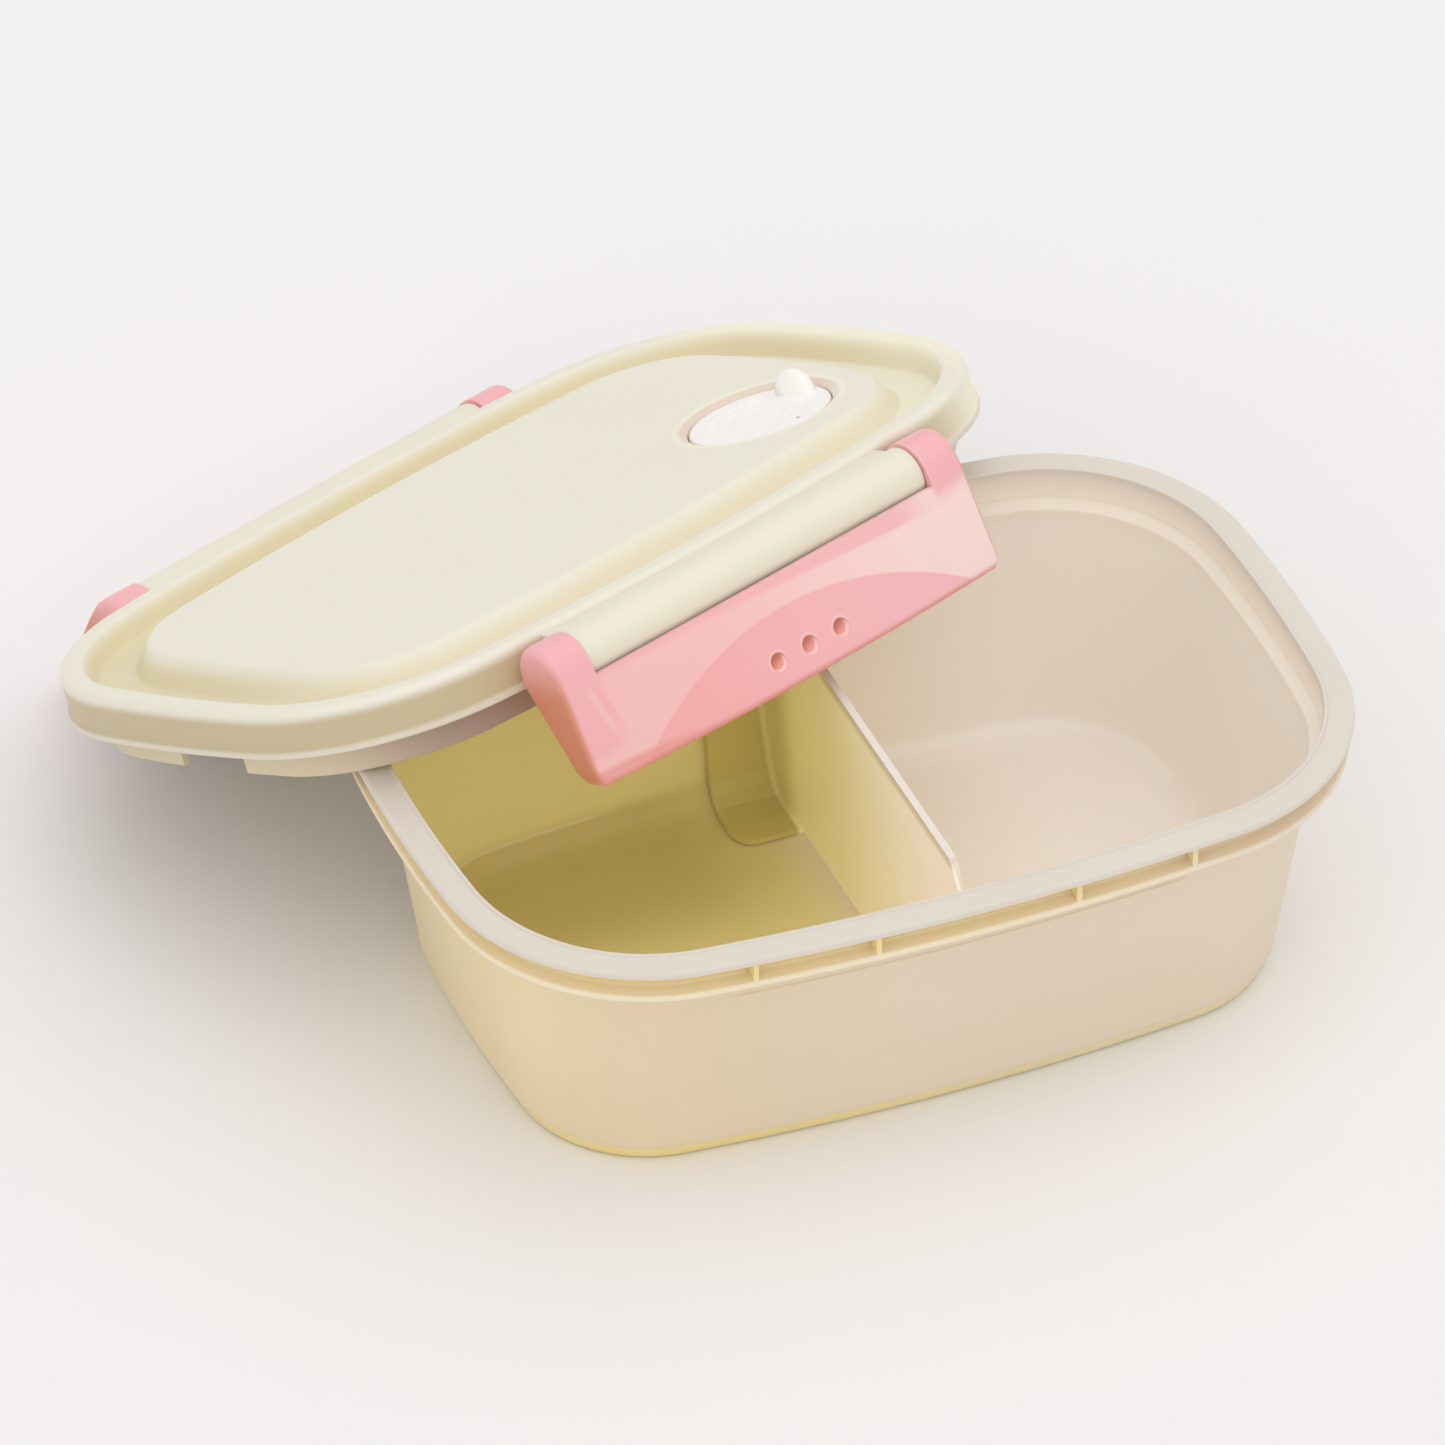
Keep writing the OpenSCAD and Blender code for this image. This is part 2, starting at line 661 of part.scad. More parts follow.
// Three shallow round dimples in a row on the face.
module finger_dimples() {
    t = (face_top + dimple_drop) / (latch_drop + face_top);
    round = (pow(dimple_radius, 2) + pow(dimple_depth, 2)) / (2 * dimple_depth);
    for (k = [-1, 0, 1]) let (x = k * dimple_pitch)
        translate([x, -reach(t) - bulge(x, t) - round + dimple_depth, 0.8 - dimple_drop])
            sphere(r = round, $fn = 32);
}

module latch_hook(from, to, hinge_y) {
    hook_top = rim_under - shut_lift - hook_gap + hinge_drop;
    tip = hinge_y - half_width + 2.2;
    root = -face_top_reach - 0.45;
    across_latch(from, to - from)
        polygon([
            [root, hook_top - 0.6],
            [tip - 2.8, hook_top - 0.5],
            [tip - 2.2, hook_top],
            [tip, hook_top],
            [tip, hook_top - hook_width + 0.8],
            [tip - 1, hook_top - hook_width],
            [root, hook_top - hook_width - 0.6]]);
}

// Room for the rim's edge beside a shut latch arm.
module rim_room(hinge_y) {
    reach = hinge_y - side_y(arm_inner, 0) - 0.5;
    translate([-latch_half - 1, reach, skirt_under + hinge_drop - rim_edge - 1.2])
        cube([2 * latch_half + 2, 2 * arm_radius, rim_edge + 1.6]);
}

module latch_body(hinge_y) {
    difference() {
        union() {
            latch_face();
            for (side = [0, 1]) mirror([side, 0, 0]) {
                across_latch(latch_half - 2.5, 2.5) latch_side();
                across_latch(arm_inner, arm_width - 1.5) circle(r = arm_radius - 0.1, $fn = 64);
                translate([arm_inner - pin_length, 0, 0]) rotate([0, 90, 0])
                    cylinder(r = pin_radius, h = pin_length + 1);
            }
        }
        rim_room(hinge_y);
        finger_dimples();
    }
    latch_hook(-inner_rib_x + rib_gap, inner_rib_x - rib_gap, hinge_y);
    for (side = [0, 1]) mirror([side, 0, 0])
        latch_hook(inner_rib_x + rib_gap, outer_rib_x - rib_gap, hinge_y);
}

// Height of the lid's own origin above the table when the lid is shut.
shut_lift = container_height + skirt_height + 0.2;

// ---------- Placing ----------

module place_lid() {
    translate([lid_x, lid_y, lid_z]) rotate([-lid_lean, lid_tilt, lid_turn]) children();
}

module place_front_latch() {
    place_lid() translate([0, -front_hinge_y, -hinge_drop])
        rotate([-front_latch_turn, 0, 0]) children();
}

module place_rear_latch() {
    place_lid() mirror([0, 1, 0])
        translate([0, -rear_hinge_y, -hinge_drop]) rotate([-rear_latch_turn, 0, 0]) children();
}

module lid() {
    color("#efe9cf") place_lid() lid_body();
}

module lid_seal() {
    color("#f4f2ea") place_lid() lid_seal_body();
}

module vent_plug() {
    color("#fbfaf7") place_lid() vent_plug_body();
}

module front_latch() {
    color("#f2a0a4") place_front_latch() latch_body(front_hinge_y);
}

module rear_latch() {
    color("#f2a0a4") place_rear_latch() latch_body(rear_hinge_y);
}

container();
divider();
lid();
lid_seal();
vent_plug();
front_latch();
rear_latch();
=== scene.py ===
from math import atan2, cos, hypot, pi, radians, sin, sqrt, tan

import bmesh
import bpy
from mathutils import Euler, Matrix, Vector


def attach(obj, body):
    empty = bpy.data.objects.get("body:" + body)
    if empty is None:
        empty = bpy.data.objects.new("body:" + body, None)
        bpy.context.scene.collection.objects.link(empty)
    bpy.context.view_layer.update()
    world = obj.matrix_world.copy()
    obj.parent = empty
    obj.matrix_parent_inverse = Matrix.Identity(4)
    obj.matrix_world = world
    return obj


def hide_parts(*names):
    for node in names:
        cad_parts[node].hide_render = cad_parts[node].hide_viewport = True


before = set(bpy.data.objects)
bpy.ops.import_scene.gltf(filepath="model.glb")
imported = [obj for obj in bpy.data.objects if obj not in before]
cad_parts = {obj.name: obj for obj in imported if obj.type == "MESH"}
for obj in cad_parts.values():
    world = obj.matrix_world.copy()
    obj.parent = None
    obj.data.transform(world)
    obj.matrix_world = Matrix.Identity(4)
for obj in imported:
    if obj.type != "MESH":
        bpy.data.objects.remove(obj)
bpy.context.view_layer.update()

MM = 0.001

# ---------- Places of the pieces (mm) ----------

FRONT_HINGE, REAR_HINGE, HINGE_DROP, REAR_TURN = 72.4, 70.0, 6.0, 38.0

STAND = Matrix.Identity(4)
LID_PLACE = (Matrix.Translation((-37.0, 90.1, 58.8))
             @ Euler((radians(-25.27), radians(0.87), radians(20.22))).to_matrix().to_4x4())
FRONT_PLACE = LID_PLACE @ Matrix.Translation((0, -FRONT_HINGE, -HINGE_DROP))
REAR_PLACE = (LID_PLACE @ Matrix.Translation((0, REAR_HINGE, -HINGE_DROP))
              @ Matrix.Rotation(pi, 4, "Z") @ Matrix.Rotation(radians(-REAR_TURN), 4, "X"))


# ---------- Outline of the box, shared by the rim, the wall and the lid (mm) ----------

HALF_LENGTH, HALF_WIDTH = 100.0, 69.8
CORNER, SHORT_BOW, LONG_BOW = 45.0, 339.0, 562.0
SHORT_STEPS, CORNER_STEPS, LONG_STEPS = 7, 28, 17
QUARTER = SHORT_STEPS + CORNER_STEPS + LONG_STEPS


def arc_joins():
    """Centre of the corner arc, and the angles where it meets the two bowed sides."""
    sx, ly = HALF_LENGTH - SHORT_BOW, HALF_WIDTH - LONG_BOW
    gap = hypot(sx, ly)
    ux, uy = -sx / gap, ly / gap
    reach, far = SHORT_BOW - CORNER, LONG_BOW - CORNER
    along = (reach ** 2 - far ** 2 + gap ** 2) / (2 * gap)
    across = sqrt(reach ** 2 - along ** 2)
    cx, cy = sx + along * ux - across * uy, along * uy + across * ux
    return cx, cy, atan2(cy, cx - sx), atan2(cy - ly, cx)


CORNER_X, CORNER_Y, SHORT_END, LONG_START = arc_joins()


def quarter_point(k, inset):
    """Point k of the quarter from the +X end to the +Y side."""
    if k <= SHORT_STEPS:
        a = SHORT_END * k / SHORT_STEPS
        r = SHORT_BOW - inset
        return HALF_LENGTH - SHORT_BOW + r * cos(a), r * sin(a)
    k -= SHORT_STEPS
    if k <= CORNER_STEPS:
        a = SHORT_END + (LONG_START - SHORT_END) * k / CORNER_STEPS
        r = CORNER - inset
        return CORNER_X + r * cos(a), CORNER_Y + r * sin(a)
    k -= CORNER_STEPS
    a = LONG_START + (pi / 2 - LONG_START) * k / LONG_STEPS
    r = LONG_BOW - inset
    return r * cos(a), HALF_WIDTH - LONG_BOW + r * sin(a)


def outline_point(k, inset):
    """Point k of the whole outline, anticlockwise from the +X end."""
    side, j = divmod(k, QUARTER)
    if side % 2:
        j = QUARTER - j
    x, y = quarter_point(j, inset)
    return (-x if side in (1, 2) else x), (-y if side in (2, 3) else y)


def side_y(x, inset):
    """Distance of the long side from the middle."""
    return HALF_WIDTH - LONG_BOW + sqrt((LONG_BOW - inset) ** 2 - x * x)


# ---------- Drawing ----------

def spread(low, high, steps):
    """Even stations from low to high."""
    return [low + (high - low) * i / steps for i in range(steps + 1)]


def ease(low, high, value):
    """0 below low, 1 above high, smooth between."""
    t = min(1, max(0, (value - low) / (high - low)))
    return t * t * (3 - 2 * t)


def rounded(corners, closed=False):
    """Section through corners [across, up, radius], with each corner turned into an arc."""
    points = []
    count = len(corners)
    for i, (x, y, r) in enumerate(corners):
        if r <= 0 or (not closed and i in (0, count - 1)):
            points.append((x, y))
            continue
        here = Vector((x, y))
        back = Vector(corners[i - 1][:2]) - here
        on = Vector(corners[(i + 1) % count][:2]) - here
        half = back.angle(on) / 2
        run = min(r / tan(half), 0.49 * back.length, 0.49 * on.length)
        radius = run * tan(half)
        middle = here + (back.normalized() + on.normalized()).normalized() * radius / sin(half)
        a = here + back.normalized() * run - middle
        b = here + on.normalized() * run - middle
        turn = a.angle_signed(b)
        steps = max(2, min(8, int(abs(turn) * 4) + 1))
        for s in range(steps + 1):
            points.append(tuple(middle + Matrix.Rotation(-turn * s / steps, 2) @ a))
    return points


def loft(bm, rings, count, place, side):
    """Capped skin over rings of count points, each ring extruded from the one before.

    place(ring, k) gives a point. side(ring) is the mark that the materials read: 1 for the
    inside of the container, the top of the lid and its barrels.
    """
    step = bm.verts.layers.int.get("step") or bm.verts.layers.int.new("step")
    inner = bm.verts.layers.float.get("inner") or bm.verts.layers.float.new("inner")
    ring = bmesh.ops.create_circle(bm, segments=count, radius=1)["verts"]
    for k, v in enumerate(ring):
        v[step] = k
    first = list({e for v in ring for e in v.link_edges})
    edges = first
    for i in range(rings):
        if i:
            grown = bmesh.ops.extrude_edge_only(bm, edges=edges)["geom"]
            ring = [g for g in grown if isinstance(g, bmesh.types.BMVert)]
            edges = [g for g in grown if isinstance(g, bmesh.types.BMEdge)
                     and len(g.link_faces) == 1]
        for v in ring:
            v.co = place(i, v[step])
            v[inner] = side(i)
    bmesh.ops.contextual_create(bm, geom=first)
    bmesh.ops.contextual_create(bm, geom=edges)


def ring_loft(bm, section, offset=0.0):
    """The outline carried through a section of (inset, height)."""
    crest = max(height for _, height in section) - 1
    top = next(i for i, (_, height) in enumerate(section) if height > crest)

    def place(i, k):
        inset, height = section[i]
        return (*outline_point(k, inset + offset), height)

    loft(bm, len(section), 4 * QUARTER, place, lambda i: 1.0 if i >= top else 0.0)


def section_bar(bm, section, stations, place, side=0.0):
    """A closed section swept along X through the stations; place(x, a, b) gives a point."""
    loft(bm, len(stations), len(section), lambda i, k: place(stations[i], *section[k]),
         lambda i: side)


def block(bm, low, high, bevel=0.0):
    """Box from its lowest to its highest corner, with rounded edges."""
    made = bmesh.ops.create_cube(bm, size=1)["verts"]
    size = Vector(high) - Vector(low)
    bmesh.ops.scale(bm, vec=size, verts=made)
    bmesh.ops.translate(bm, vec=(Vector(high) + Vector(low)) / 2, verts=made)
    if bevel:
        soften(bm, {e for v in made for e in v.link_edges}, bevel)


def soften(bm, edges, width):
    """Small rounded bevel on these edges."""
    bmesh.ops.bevel(bm, geom=list(edges), offset=width, segments=2, profile=0.5,
                    affect="EDGES", material=-1)


def rod(bm, radius, ends, y=0.0, z=0.0, segments=72):
    """Cylinder along X between two ends, in either order."""
    low, high = sorted(ends)
    made = bmesh.ops.create_cone(bm, cap_ends=True, segments=segments, radius1=radius,
                                 radius2=radius, depth=high - low)["verts"]
    bmesh.ops.rotate(bm, verts=made, cent=(0, 0, 0), matrix=Matrix.Rotation(pi / 2, 3, "Y"))
    bmesh.ops.translate(bm, verts=made, vec=((high + low) / 2, y, z))


def turned(bm, profile, steps, middle):
    """Round piece spun about the vertical through middle, from a profile of (radius, height)."""
    verts = [bm.verts.new((r + middle[0], middle[1], z + middle[2])) for r, z in profile]
    edges = [bm.edges.new(pair) for pair in zip(verts, verts[1:])]
    bmesh.ops.spin(bm, geom=verts + edges, cent=middle, axis=(0, 0, 1), angle=2 * pi,
                   steps=steps, use_merge=True)
    bmesh.ops.remove_doubles(bm, verts=bm.verts, dist=1e-4)


def solid(name, bm):
    """Object from a bmesh in millimetres."""
    mesh = bpy.data.meshes.new(name)
    bm.to_mesh(mesh)
    bm.free()
    made = bpy.data.objects.new(name, mesh)
    bpy.context.scene.collection.objects.link(made)
    return made


def drawn(name, draw):
    """Object from a function that draws in a bmesh, with its faces turned outwards."""
    bm = bmesh.new()
    draw(bm)
    bmesh.ops.remove_doubles(bm, verts=bm.verts, dist=1e-5)
    bmesh.ops.recalc_face_normals(bm, faces=bm.faces)
    return solid(name, bm)


def cut(piece, tool, operation="DIFFERENCE"):
    """Cuts the tool from the piece, or joins them, and leaves only the piece."""
    change = piece.modifiers.new("cut", "BOOLEAN")
    change.operation, change.object, change.solver = operation, tool, "EXACT"
    graph = bpy.context.evaluated_depsgraph_get()
    graph.update()
    mesh = bpy.data.meshes.new_from_object(piece.evaluated_get(graph))
    piece.modifiers.clear()
    piece.data = mesh
    bpy.data.objects.remove(tool)


def carve(piece, name, draw, operation="DIFFERENCE"):
    """Draws a tool and cuts it from the piece, or joins it."""
    cut(piece, drawn(name, draw), operation)


def join(pieces, name):
    """One mesh from several pieces."""
    bm = bmesh.new()
    for p in pieces:
        bm.from_mesh(p.data)
        bpy.data.objects.remove(p)
    return solid(name, bm)


# ---------- Container ----------

# Insets are measured from the rim's edge, heights from the foot.
WALL_INSET, WALL_TAPER, INNER_FLOOR = 7.6, 0.1595, 2
FLANGE_LOW, FLANGE_TOP, GROOVE_IN, GROOVE_TOP = 53.9, 55.4, 4.8, 60.25
RIM_TOP, RIDGE_TOP = 62, 62.5
RIB_HALF, RIB_PLACES = 0.6, (-48.4, -22.1, 22.1, 48.4)
LEDGE_HALF, LEDGE_FADE, LEDGE_FADE_RUN = 54, 48, 6
LEDGE_TOP, LEDGE_EDGE, LEDGE_FOOT, LEDGE_LOW = 47.2, 46.2, 44, 43.4


def wall_in(z):
    """How far the outer wall lies inside the rim's edge at this height."""
    return WALL_INSET + (FLANGE_LOW - z) * WALL_TAPER


def draw_container(bm):
    """Section of (inset, height, rounding) from the foot over the rim to the floor inside,
    with the ribs of the latch groove and the ledges on the long sides."""
    ring_loft(bm, rounded([
        (30, 0, 0), (17.8, 0, 1.0), (15.5, 4.6, 3.0),
        (WALL_INSET, FLANGE_LOW, 0.6), (1, FLANGE_LOW, 0.5), (1, FLANGE_TOP, 0.5),
        (GROOVE_IN, FLANGE_TOP, 0.5), (GROOVE_IN, GROOVE_TOP, 0.4),
        (0, GROOVE_TOP, 0.5), (0, RIM_TOP, 0.8), (5.35, RIM_TOP, 0.2),
        (5.65, RIDGE_TOP, 0.25), (6.35, RIDGE_TOP, 0.3), (6.65, 55.2, 0.8), (9.35, 54.2, 0.8),
        (17.7, INNER_FLOOR, 8), (40, INNER_FLOOR, 0)]))
    ledge = rounded([
        (wall_in(LEDGE_TOP) + 1, LEDGE_TOP, 0), (wall_in(LEDGE_TOP) + 0.1, LEDGE_TOP, 0.2),
        (wall_in(LEDGE_EDGE) - 0.35, LEDGE_EDGE, 0.3),
        (wall_in(LEDGE_FOOT) - 0.2, LEDGE_FOOT, 0.3),
        (wall_in(LEDGE_LOW) + 1, LEDGE_LOW, 0)], closed=True)
    for side in (-1, 1):
        for x in RIB_PLACES:
            near, far = sorted((side * side_y(x, 1.3), side * side_y(x, 5.6)))
            block(bm, (x - RIB_HALF, near, 55.3), (x + RIB_HALF, far, 60.4), 0.15)
        section_bar(bm, ledge, spread(-LEDGE_HALF, LEDGE_HALF, 36), lambda x, a, b: (
            x, side * side_y(x, a + 0.8 * max(0, (abs(x) - LEDGE_FADE) / LEDGE_FADE_RUN)), b))


# ---------- Lid ----------

# Heights are measured from the lid's own zero, near its rim.
LID_INSET, SKIRT_LOW, BEAD_TOP, GUTTER_Z, PLATEAU = 3.2, -9.8, -8.4, -4.9, 1.1
RING_LOW, SEAL_SEAT = -16.8, -2.2
BARREL_RADIUS, BARREL_HALF, BARREL_STOP, WEB_LOW = 6, 46.7, 57, -9.6
ARM_ROOM = 6.85
VENT_X, VENT_Y = 53.8, -18.8
VENT_MIDDLE = (VENT_X, VENT_Y, 0)


def draw_barrel(bm, side, hinge_y):
    """Long barrel along one side of the lid, with the web that carries it."""
    front = [(hinge_y + BARREL_RADIUS * cos(radians(a)),
              -HINGE_DROP + BARREL_RADIUS * sin(radians(a))) for a in range(125, -37, -6)]
    section_bar(bm, [(0, -1.1)] + front + [(hinge_y + 4.8, WEB_LOW), (0, WEB_LOW)],
                spread(-BARREL_HALF, BARREL_HALF, 40),
                lambda x, a, b: (x, side * (a if a else side_y(x, LID_INSET + 0.9)), b), 1.0)
    soften(bm, {e for f in bm.faces if len(f.verts) > 8 for e in f.edges}, 0.4)


def draw_pockets(bm):
    """Room for the latch arms beside the barrels, and the notches in the plug ring."""
    for y in (-FRONT_HINGE, REAR_HINGE):
        for end in (-1, 1):
            rod(bm, ARM_ROOM, (end * BARREL_HALF, end * BARREL_STOP), y, -HINGE_DROP)
    block(bm, (-93, -12, -30), (-86, 9, -10))
    block(bm, (86, -11, -30), (93, 11, -10))


def build_lid():
    """Tray-shaped lid: its underside with plug ring and seal groove, the skirt with its bead,
    the rim, the gutter and the plateau, then the hinge barrels and the vent's seat."""
    lid = drawn("lid_body", lambda bm: ring_loft(bm, rounded([
        (27, -0.9, 0), (20.2, -0.9, 1.5), (16.4, -7, 1.5), (7.9, -7, 0.8),
        (7.9, RING_LOW, 0.35), (6.5, RING_LOW, 0.4), (6.5, -7.2, 0.8),
        (4.4, SEAL_SEAT, 0.6), (1.8, SEAL_SEAT, 0.6), (1.8, SKIRT_LOW, 0.3),
        (-0.6, SKIRT_LOW, 0.35), (-0.6, BEAD_TOP, 0.5), (0, -8.1, 0.3),
        (0, 0.4, 1.7), (5, 0.4, 1.3), (7.3, GUTTER_Z, 1.3), (15.4, GUTTER_Z, 2),
        (19.4, PLATEAU, 1.6), (28, PLATEAU, 0)]), LID_INSET))
    carve(lid, "pockets", draw_pockets)
    carve(lid, "front_barrel", lambda bm: draw_barrel(bm, -1, FRONT_HINGE), "UNION")
    carve(lid, "rear_barrel", lambda bm: draw_barrel(bm, 1, REAR_HINGE), "UNION")
    carve(lid, "vent_cup", lambda bm: turned(
        bm, [(0, -3.6), (16.9, -3.6), (17.1, -3.4), (17.1, -0.6), (0, -0.6)], 96,
        VENT_MIDDLE), "UNION")
    carve(lid, "vent_seat", lambda bm: turned(
        bm, rounded([(0, -2.1, 0), (15.6, -2.1, 0.5), (15.6, 0.1, 1.2), (17.9, 1.35, 0.3),
                     (18.2, 4, 0), (0, 4, 0)]), 120, VENT_MIDDLE))
    carve(lid, "vent_hole", lambda bm: turned(
        bm, [(0, -8), (4, -8), (4, 2), (0, 2)], 48, VENT_MIDDLE))
    return lid


# ---------- Vent plug ----------

TAB_X, TAB_Y, TAB_RISE, TAB_ACROSS, TAB_DEEP = 65.4, -17.4, 4.7, 5, 2.9
PLUG_FACE, FACE_RADIUS, FACE_RINGS, STEM_LOW, DISC_LOW = 0.2, 14.6, 56, -5.3, -1.9


def draw_plug(bm):
    """Soft round stopper with a pull tab that rises from its gently rippled face."""
    rings = [FACE_RADIUS - 14.5 * k / FACE_RINGS for k in range(FACE_RINGS + 1)]
    turned(bm, [(0, STEM_LOW), (3.3, STEM_LOW), (3.9, -4.7), (3.9, DISC_LOW), (15.1, DISC_LOW),
                (15.35, -1.65), (15.4, -1.4), (15.4, -0.5), (15.3, -0.1), (15.05, 0.12)]
           + [(r, PLUG_FACE) for r in rings] + [(0, PLUG_FACE)], 168, VENT_MIDDLE)
    away = atan2(TAB_Y - VENT_Y, TAB_X - VENT_X)
    for v in bm.verts:
        if v.co.z < PLUG_FACE - 0.01:
            continue
        dx, dy = v.co.x - TAB_X, v.co.y - TAB_Y
        across = -dx * sin(away) + dy * cos(away)
        deep = dx * cos(away) + dy * sin(away)
        r = hypot(v.co.x - VENT_X, v.co.y - VENT_Y)
        tab = sqrt(max(0, 1 - (across / TAB_ACROSS) ** 2 - (deep / TAB_DEEP) ** 2))
        skirt = 0.6 * (1 - ease(2, 5.5, hypot(across * 0.7, deep)))
        dish = -0.35 * (1 - ease(6, 13.5, r))
        ripple = 0.1 * sin(r * 2.4) * ease(2, 5, r) * (1 - ease(10.5, 13, r))
        waves = 0.1 * sin(v.co.x * 0.7 + 1) * sin(v.co.y * 0.9)
        v.co.z += TAB_RISE * tab + skirt + dish + ripple + waves


# ---------- Latches ----------

# The hinge line is the latch's zero, with the face towards -Y.
ARM_RADIUS, ARM_INNER, LATCH_HALF = 6.5, 47.05, 56.35
LATCH_DROP, FACE_TOP, HOOK_TOP = 24.2, -2.6, -6.5
END_ROUND, CORNER_ROUND = 2.2, 2.8
MIDDLE_Y, MIDDLE_Z, CORNER_Z = -2.5, -8, -12
FACE_REACH, FACE_SPREAD, FACE_BULGE, FACE_SKIN, FACE_WALL = 7.4, 3.2, 3, 0.1, 1.6
ARM_END, ROOM_HALF = 55, 53.4
DIMPLE_X, DIMPLE_STEP, DIMPLE_Z, DIMPLE_BALL = 2.9, 8.74, -18.1, 2.5


def latch_down(z):
    """0 at the top of the face, 1 at the latch's lower edge."""
    return min(1, max(0, (FACE_TOP - z) / (LATCH_DROP + FACE_TOP)))


def latch_bow(x, z):
    """How far the face stands out beyond a straight one."""
    return FACE_BULGE * latch_down(z) * (1 - (x / LATCH_HALF) ** 2)


def latch_reach(z):
    """Distance of the face from the hinge line at its ends."""
    return FACE_REACH + FACE_SPREAD * latch_down(z)


def bowed(x, a, b):
    """The section's point on the bowed face."""
    return x, a - latch_bow(x, b), b


def softened(x, a, b):
    """The bowed face with rounded ends and rounded lower corners."""
    near = max(0, LATCH_HALF - abs(x))
    edge = END_ROUND - sqrt(END_ROUND ** 2 - max(0, END_ROUND - near) ** 2)
    lift = CORNER_ROUND - sqrt(CORNER_ROUND ** 2 - max(0, CORNER_ROUND - near) ** 2)
    if b < CORNER_Z:
        b = CORNER_Z + (b - CORNER_Z) * (LATCH_DROP + CORNER_Z - lift) / (LATCH_DROP + CORNER_Z)
    y = MIDDLE_Y + (a - MIDDLE_Y) * (1 - edge / 8)
    return x, y - latch_bow(x, b), MIDDLE_Z + (b - MIDDLE_Z) * (1 - edge / 15.5)


def draw_latch(bm):
    """Round arms on the hinge line, and the bowed face below them."""
    arc = [(ARM_RADIUS * cos(radians(a)), ARM_RADIUS * sin(radians(a)))
           for a in range(-20, 156, 7)]
    shoulder = [(-6.35, 1.9), (-6.75, 0.6), (-7.05, -0.6), (-7.3, -1.9)]
    face = [(-latch_reach(z) - FACE_SKIN, z) for z in spread(-3.2, -19.2, 8) + [-20.6]]
    foot = rounded([face[-1] + (0,), (-10.7, -LATCH_DROP, 2.3), (-4.1, -LATCH_DROP, 2.4),
                    arc[0] + (0,)])
    ends = [LATCH_HALF - CORNER_ROUND * (1 - cos(radians(a))) for a in range(0, 91, 9)]
    section_bar(bm, arc + shoulder + face + foot[1:-1],
                [-x for x in ends] + spread(-51, 51, 50) + ends[::-1], softened)


def draw_room(bm):
    """The hollow behind the face."""
    face = [(-latch_reach(z) + FACE_WALL, z) for z in (0.5, -6, -12, -18, -26)]
    section_bar(bm, face + [(14, -26), (14, 0.5)], spread(-ROOM_HALF, ROOM_HALF, 40), bowed)


def draw_arms(bm):
    """The arms' cylinders, which stay solid in the hollow."""
    for end in (-1, 1):
        rod(bm, ARM_RADIUS - 0.01, (end * ARM_INNER, end * ARM_END), segments=96)


def draw_dimples(bm):
    """Three balls that press finger dimples in the face."""
    for k in (-1, 0, 1):
        x = DIMPLE_X + k * DIMPLE_STEP
        made = bmesh.ops.create_uvsphere(bm, u_segments=40, v_segments=24,
                                         radius=DIMPLE_BALL)["verts"]
        y = -latch_reach(DIMPLE_Z) - FACE_SKIN - latch_bow(x, DIMPLE_Z)
        bmesh.ops.translate(bm, verts=made, vec=(x, y - 1.3, DIMPLE_Z + 0.3))


def draw_hooks(bm, hinge_y):
    """Hooks inside the face, between the container's ribs, that catch under its rim."""
    top, tip, root = HOOK_TOP, hinge_y - HALF_WIDTH + 2.2, -8.0
    hook = [(root, top - 0.6), (tip - 2.8, top - 0.5), (tip - 2.2, top), (tip, top),
            (tip, top - 0.9), (tip - 1, top - 1.7), (root, top - 2.3)]
    for low, high in ((-47, -23.5), (-20.7, 20.7), (23.5, 47)):
        section_bar(bm, hook, spread(low, high, 10),
                    lambda x, a, b: bowed(x, a, b) if a < root + 0.1 else (x, a, b))


def build_latch(name, hinge_y):
    """Clip with two rounded arms on the hinge line, a bowed face and hooks inside."""
    latch = drawn(name, draw_latch)
    carve(latch, "barrel_room", lambda bm: rod(
        bm, BARREL_RADIUS + 0.1, (-ARM_INNER, ARM_INNER), segments=96))
    carve(latch, "barrel_slot", lambda bm: block(
        bm, (-ARM_INNER, -12, FACE_TOP), (ARM_INNER, 12, 9)))
    room = drawn("inside", draw_room)
    carve(room, "arms", draw_arms)
    cut(latch, room)
    carve(latch, "finger_dimples", draw_dimples)
    return join([latch, drawn("hooks", lambda bm: draw_hooks(bm, hinge_y))], name)


# ---------- Materials ----------

def tone(r, g, b):
    """Linear colour from the 0-255 values of a colour chip."""
    return tuple((c / 255 / 12.92 if c <= 10 else ((c / 255 + 0.055) / 1.055) ** 2.4)
                 for c in (r, g, b)) + (1.0,)


class Wire:
    """Shader socket that takes arithmetic."""

    def __init__(self, paint, socket):
        self.paint, self.socket = paint, socket

    def __add__(self, other): return self.paint.sum("ADD", self, other)
    def __radd__(self, other): return self.paint.sum("ADD", other, self)
    def __sub__(self, other): return self.paint.sum("SUBTRACT", self, other)
    def __rsub__(self, other): return self.paint.sum("SUBTRACT", other, self)
    def __mul__(self, other): return self.paint.sum("MULTIPLY", self, other)
    def __rmul__(self, other): return self.paint.sum("MULTIPLY", other, self)
    def __gt__(self, other): return self.paint.sum("GREATER_THAN", self, other)
    def __lt__(self, other): return self.paint.sum("LESS_THAN", self, other)
    def __abs__(self): return self.paint.sum("ABSOLUTE", self)


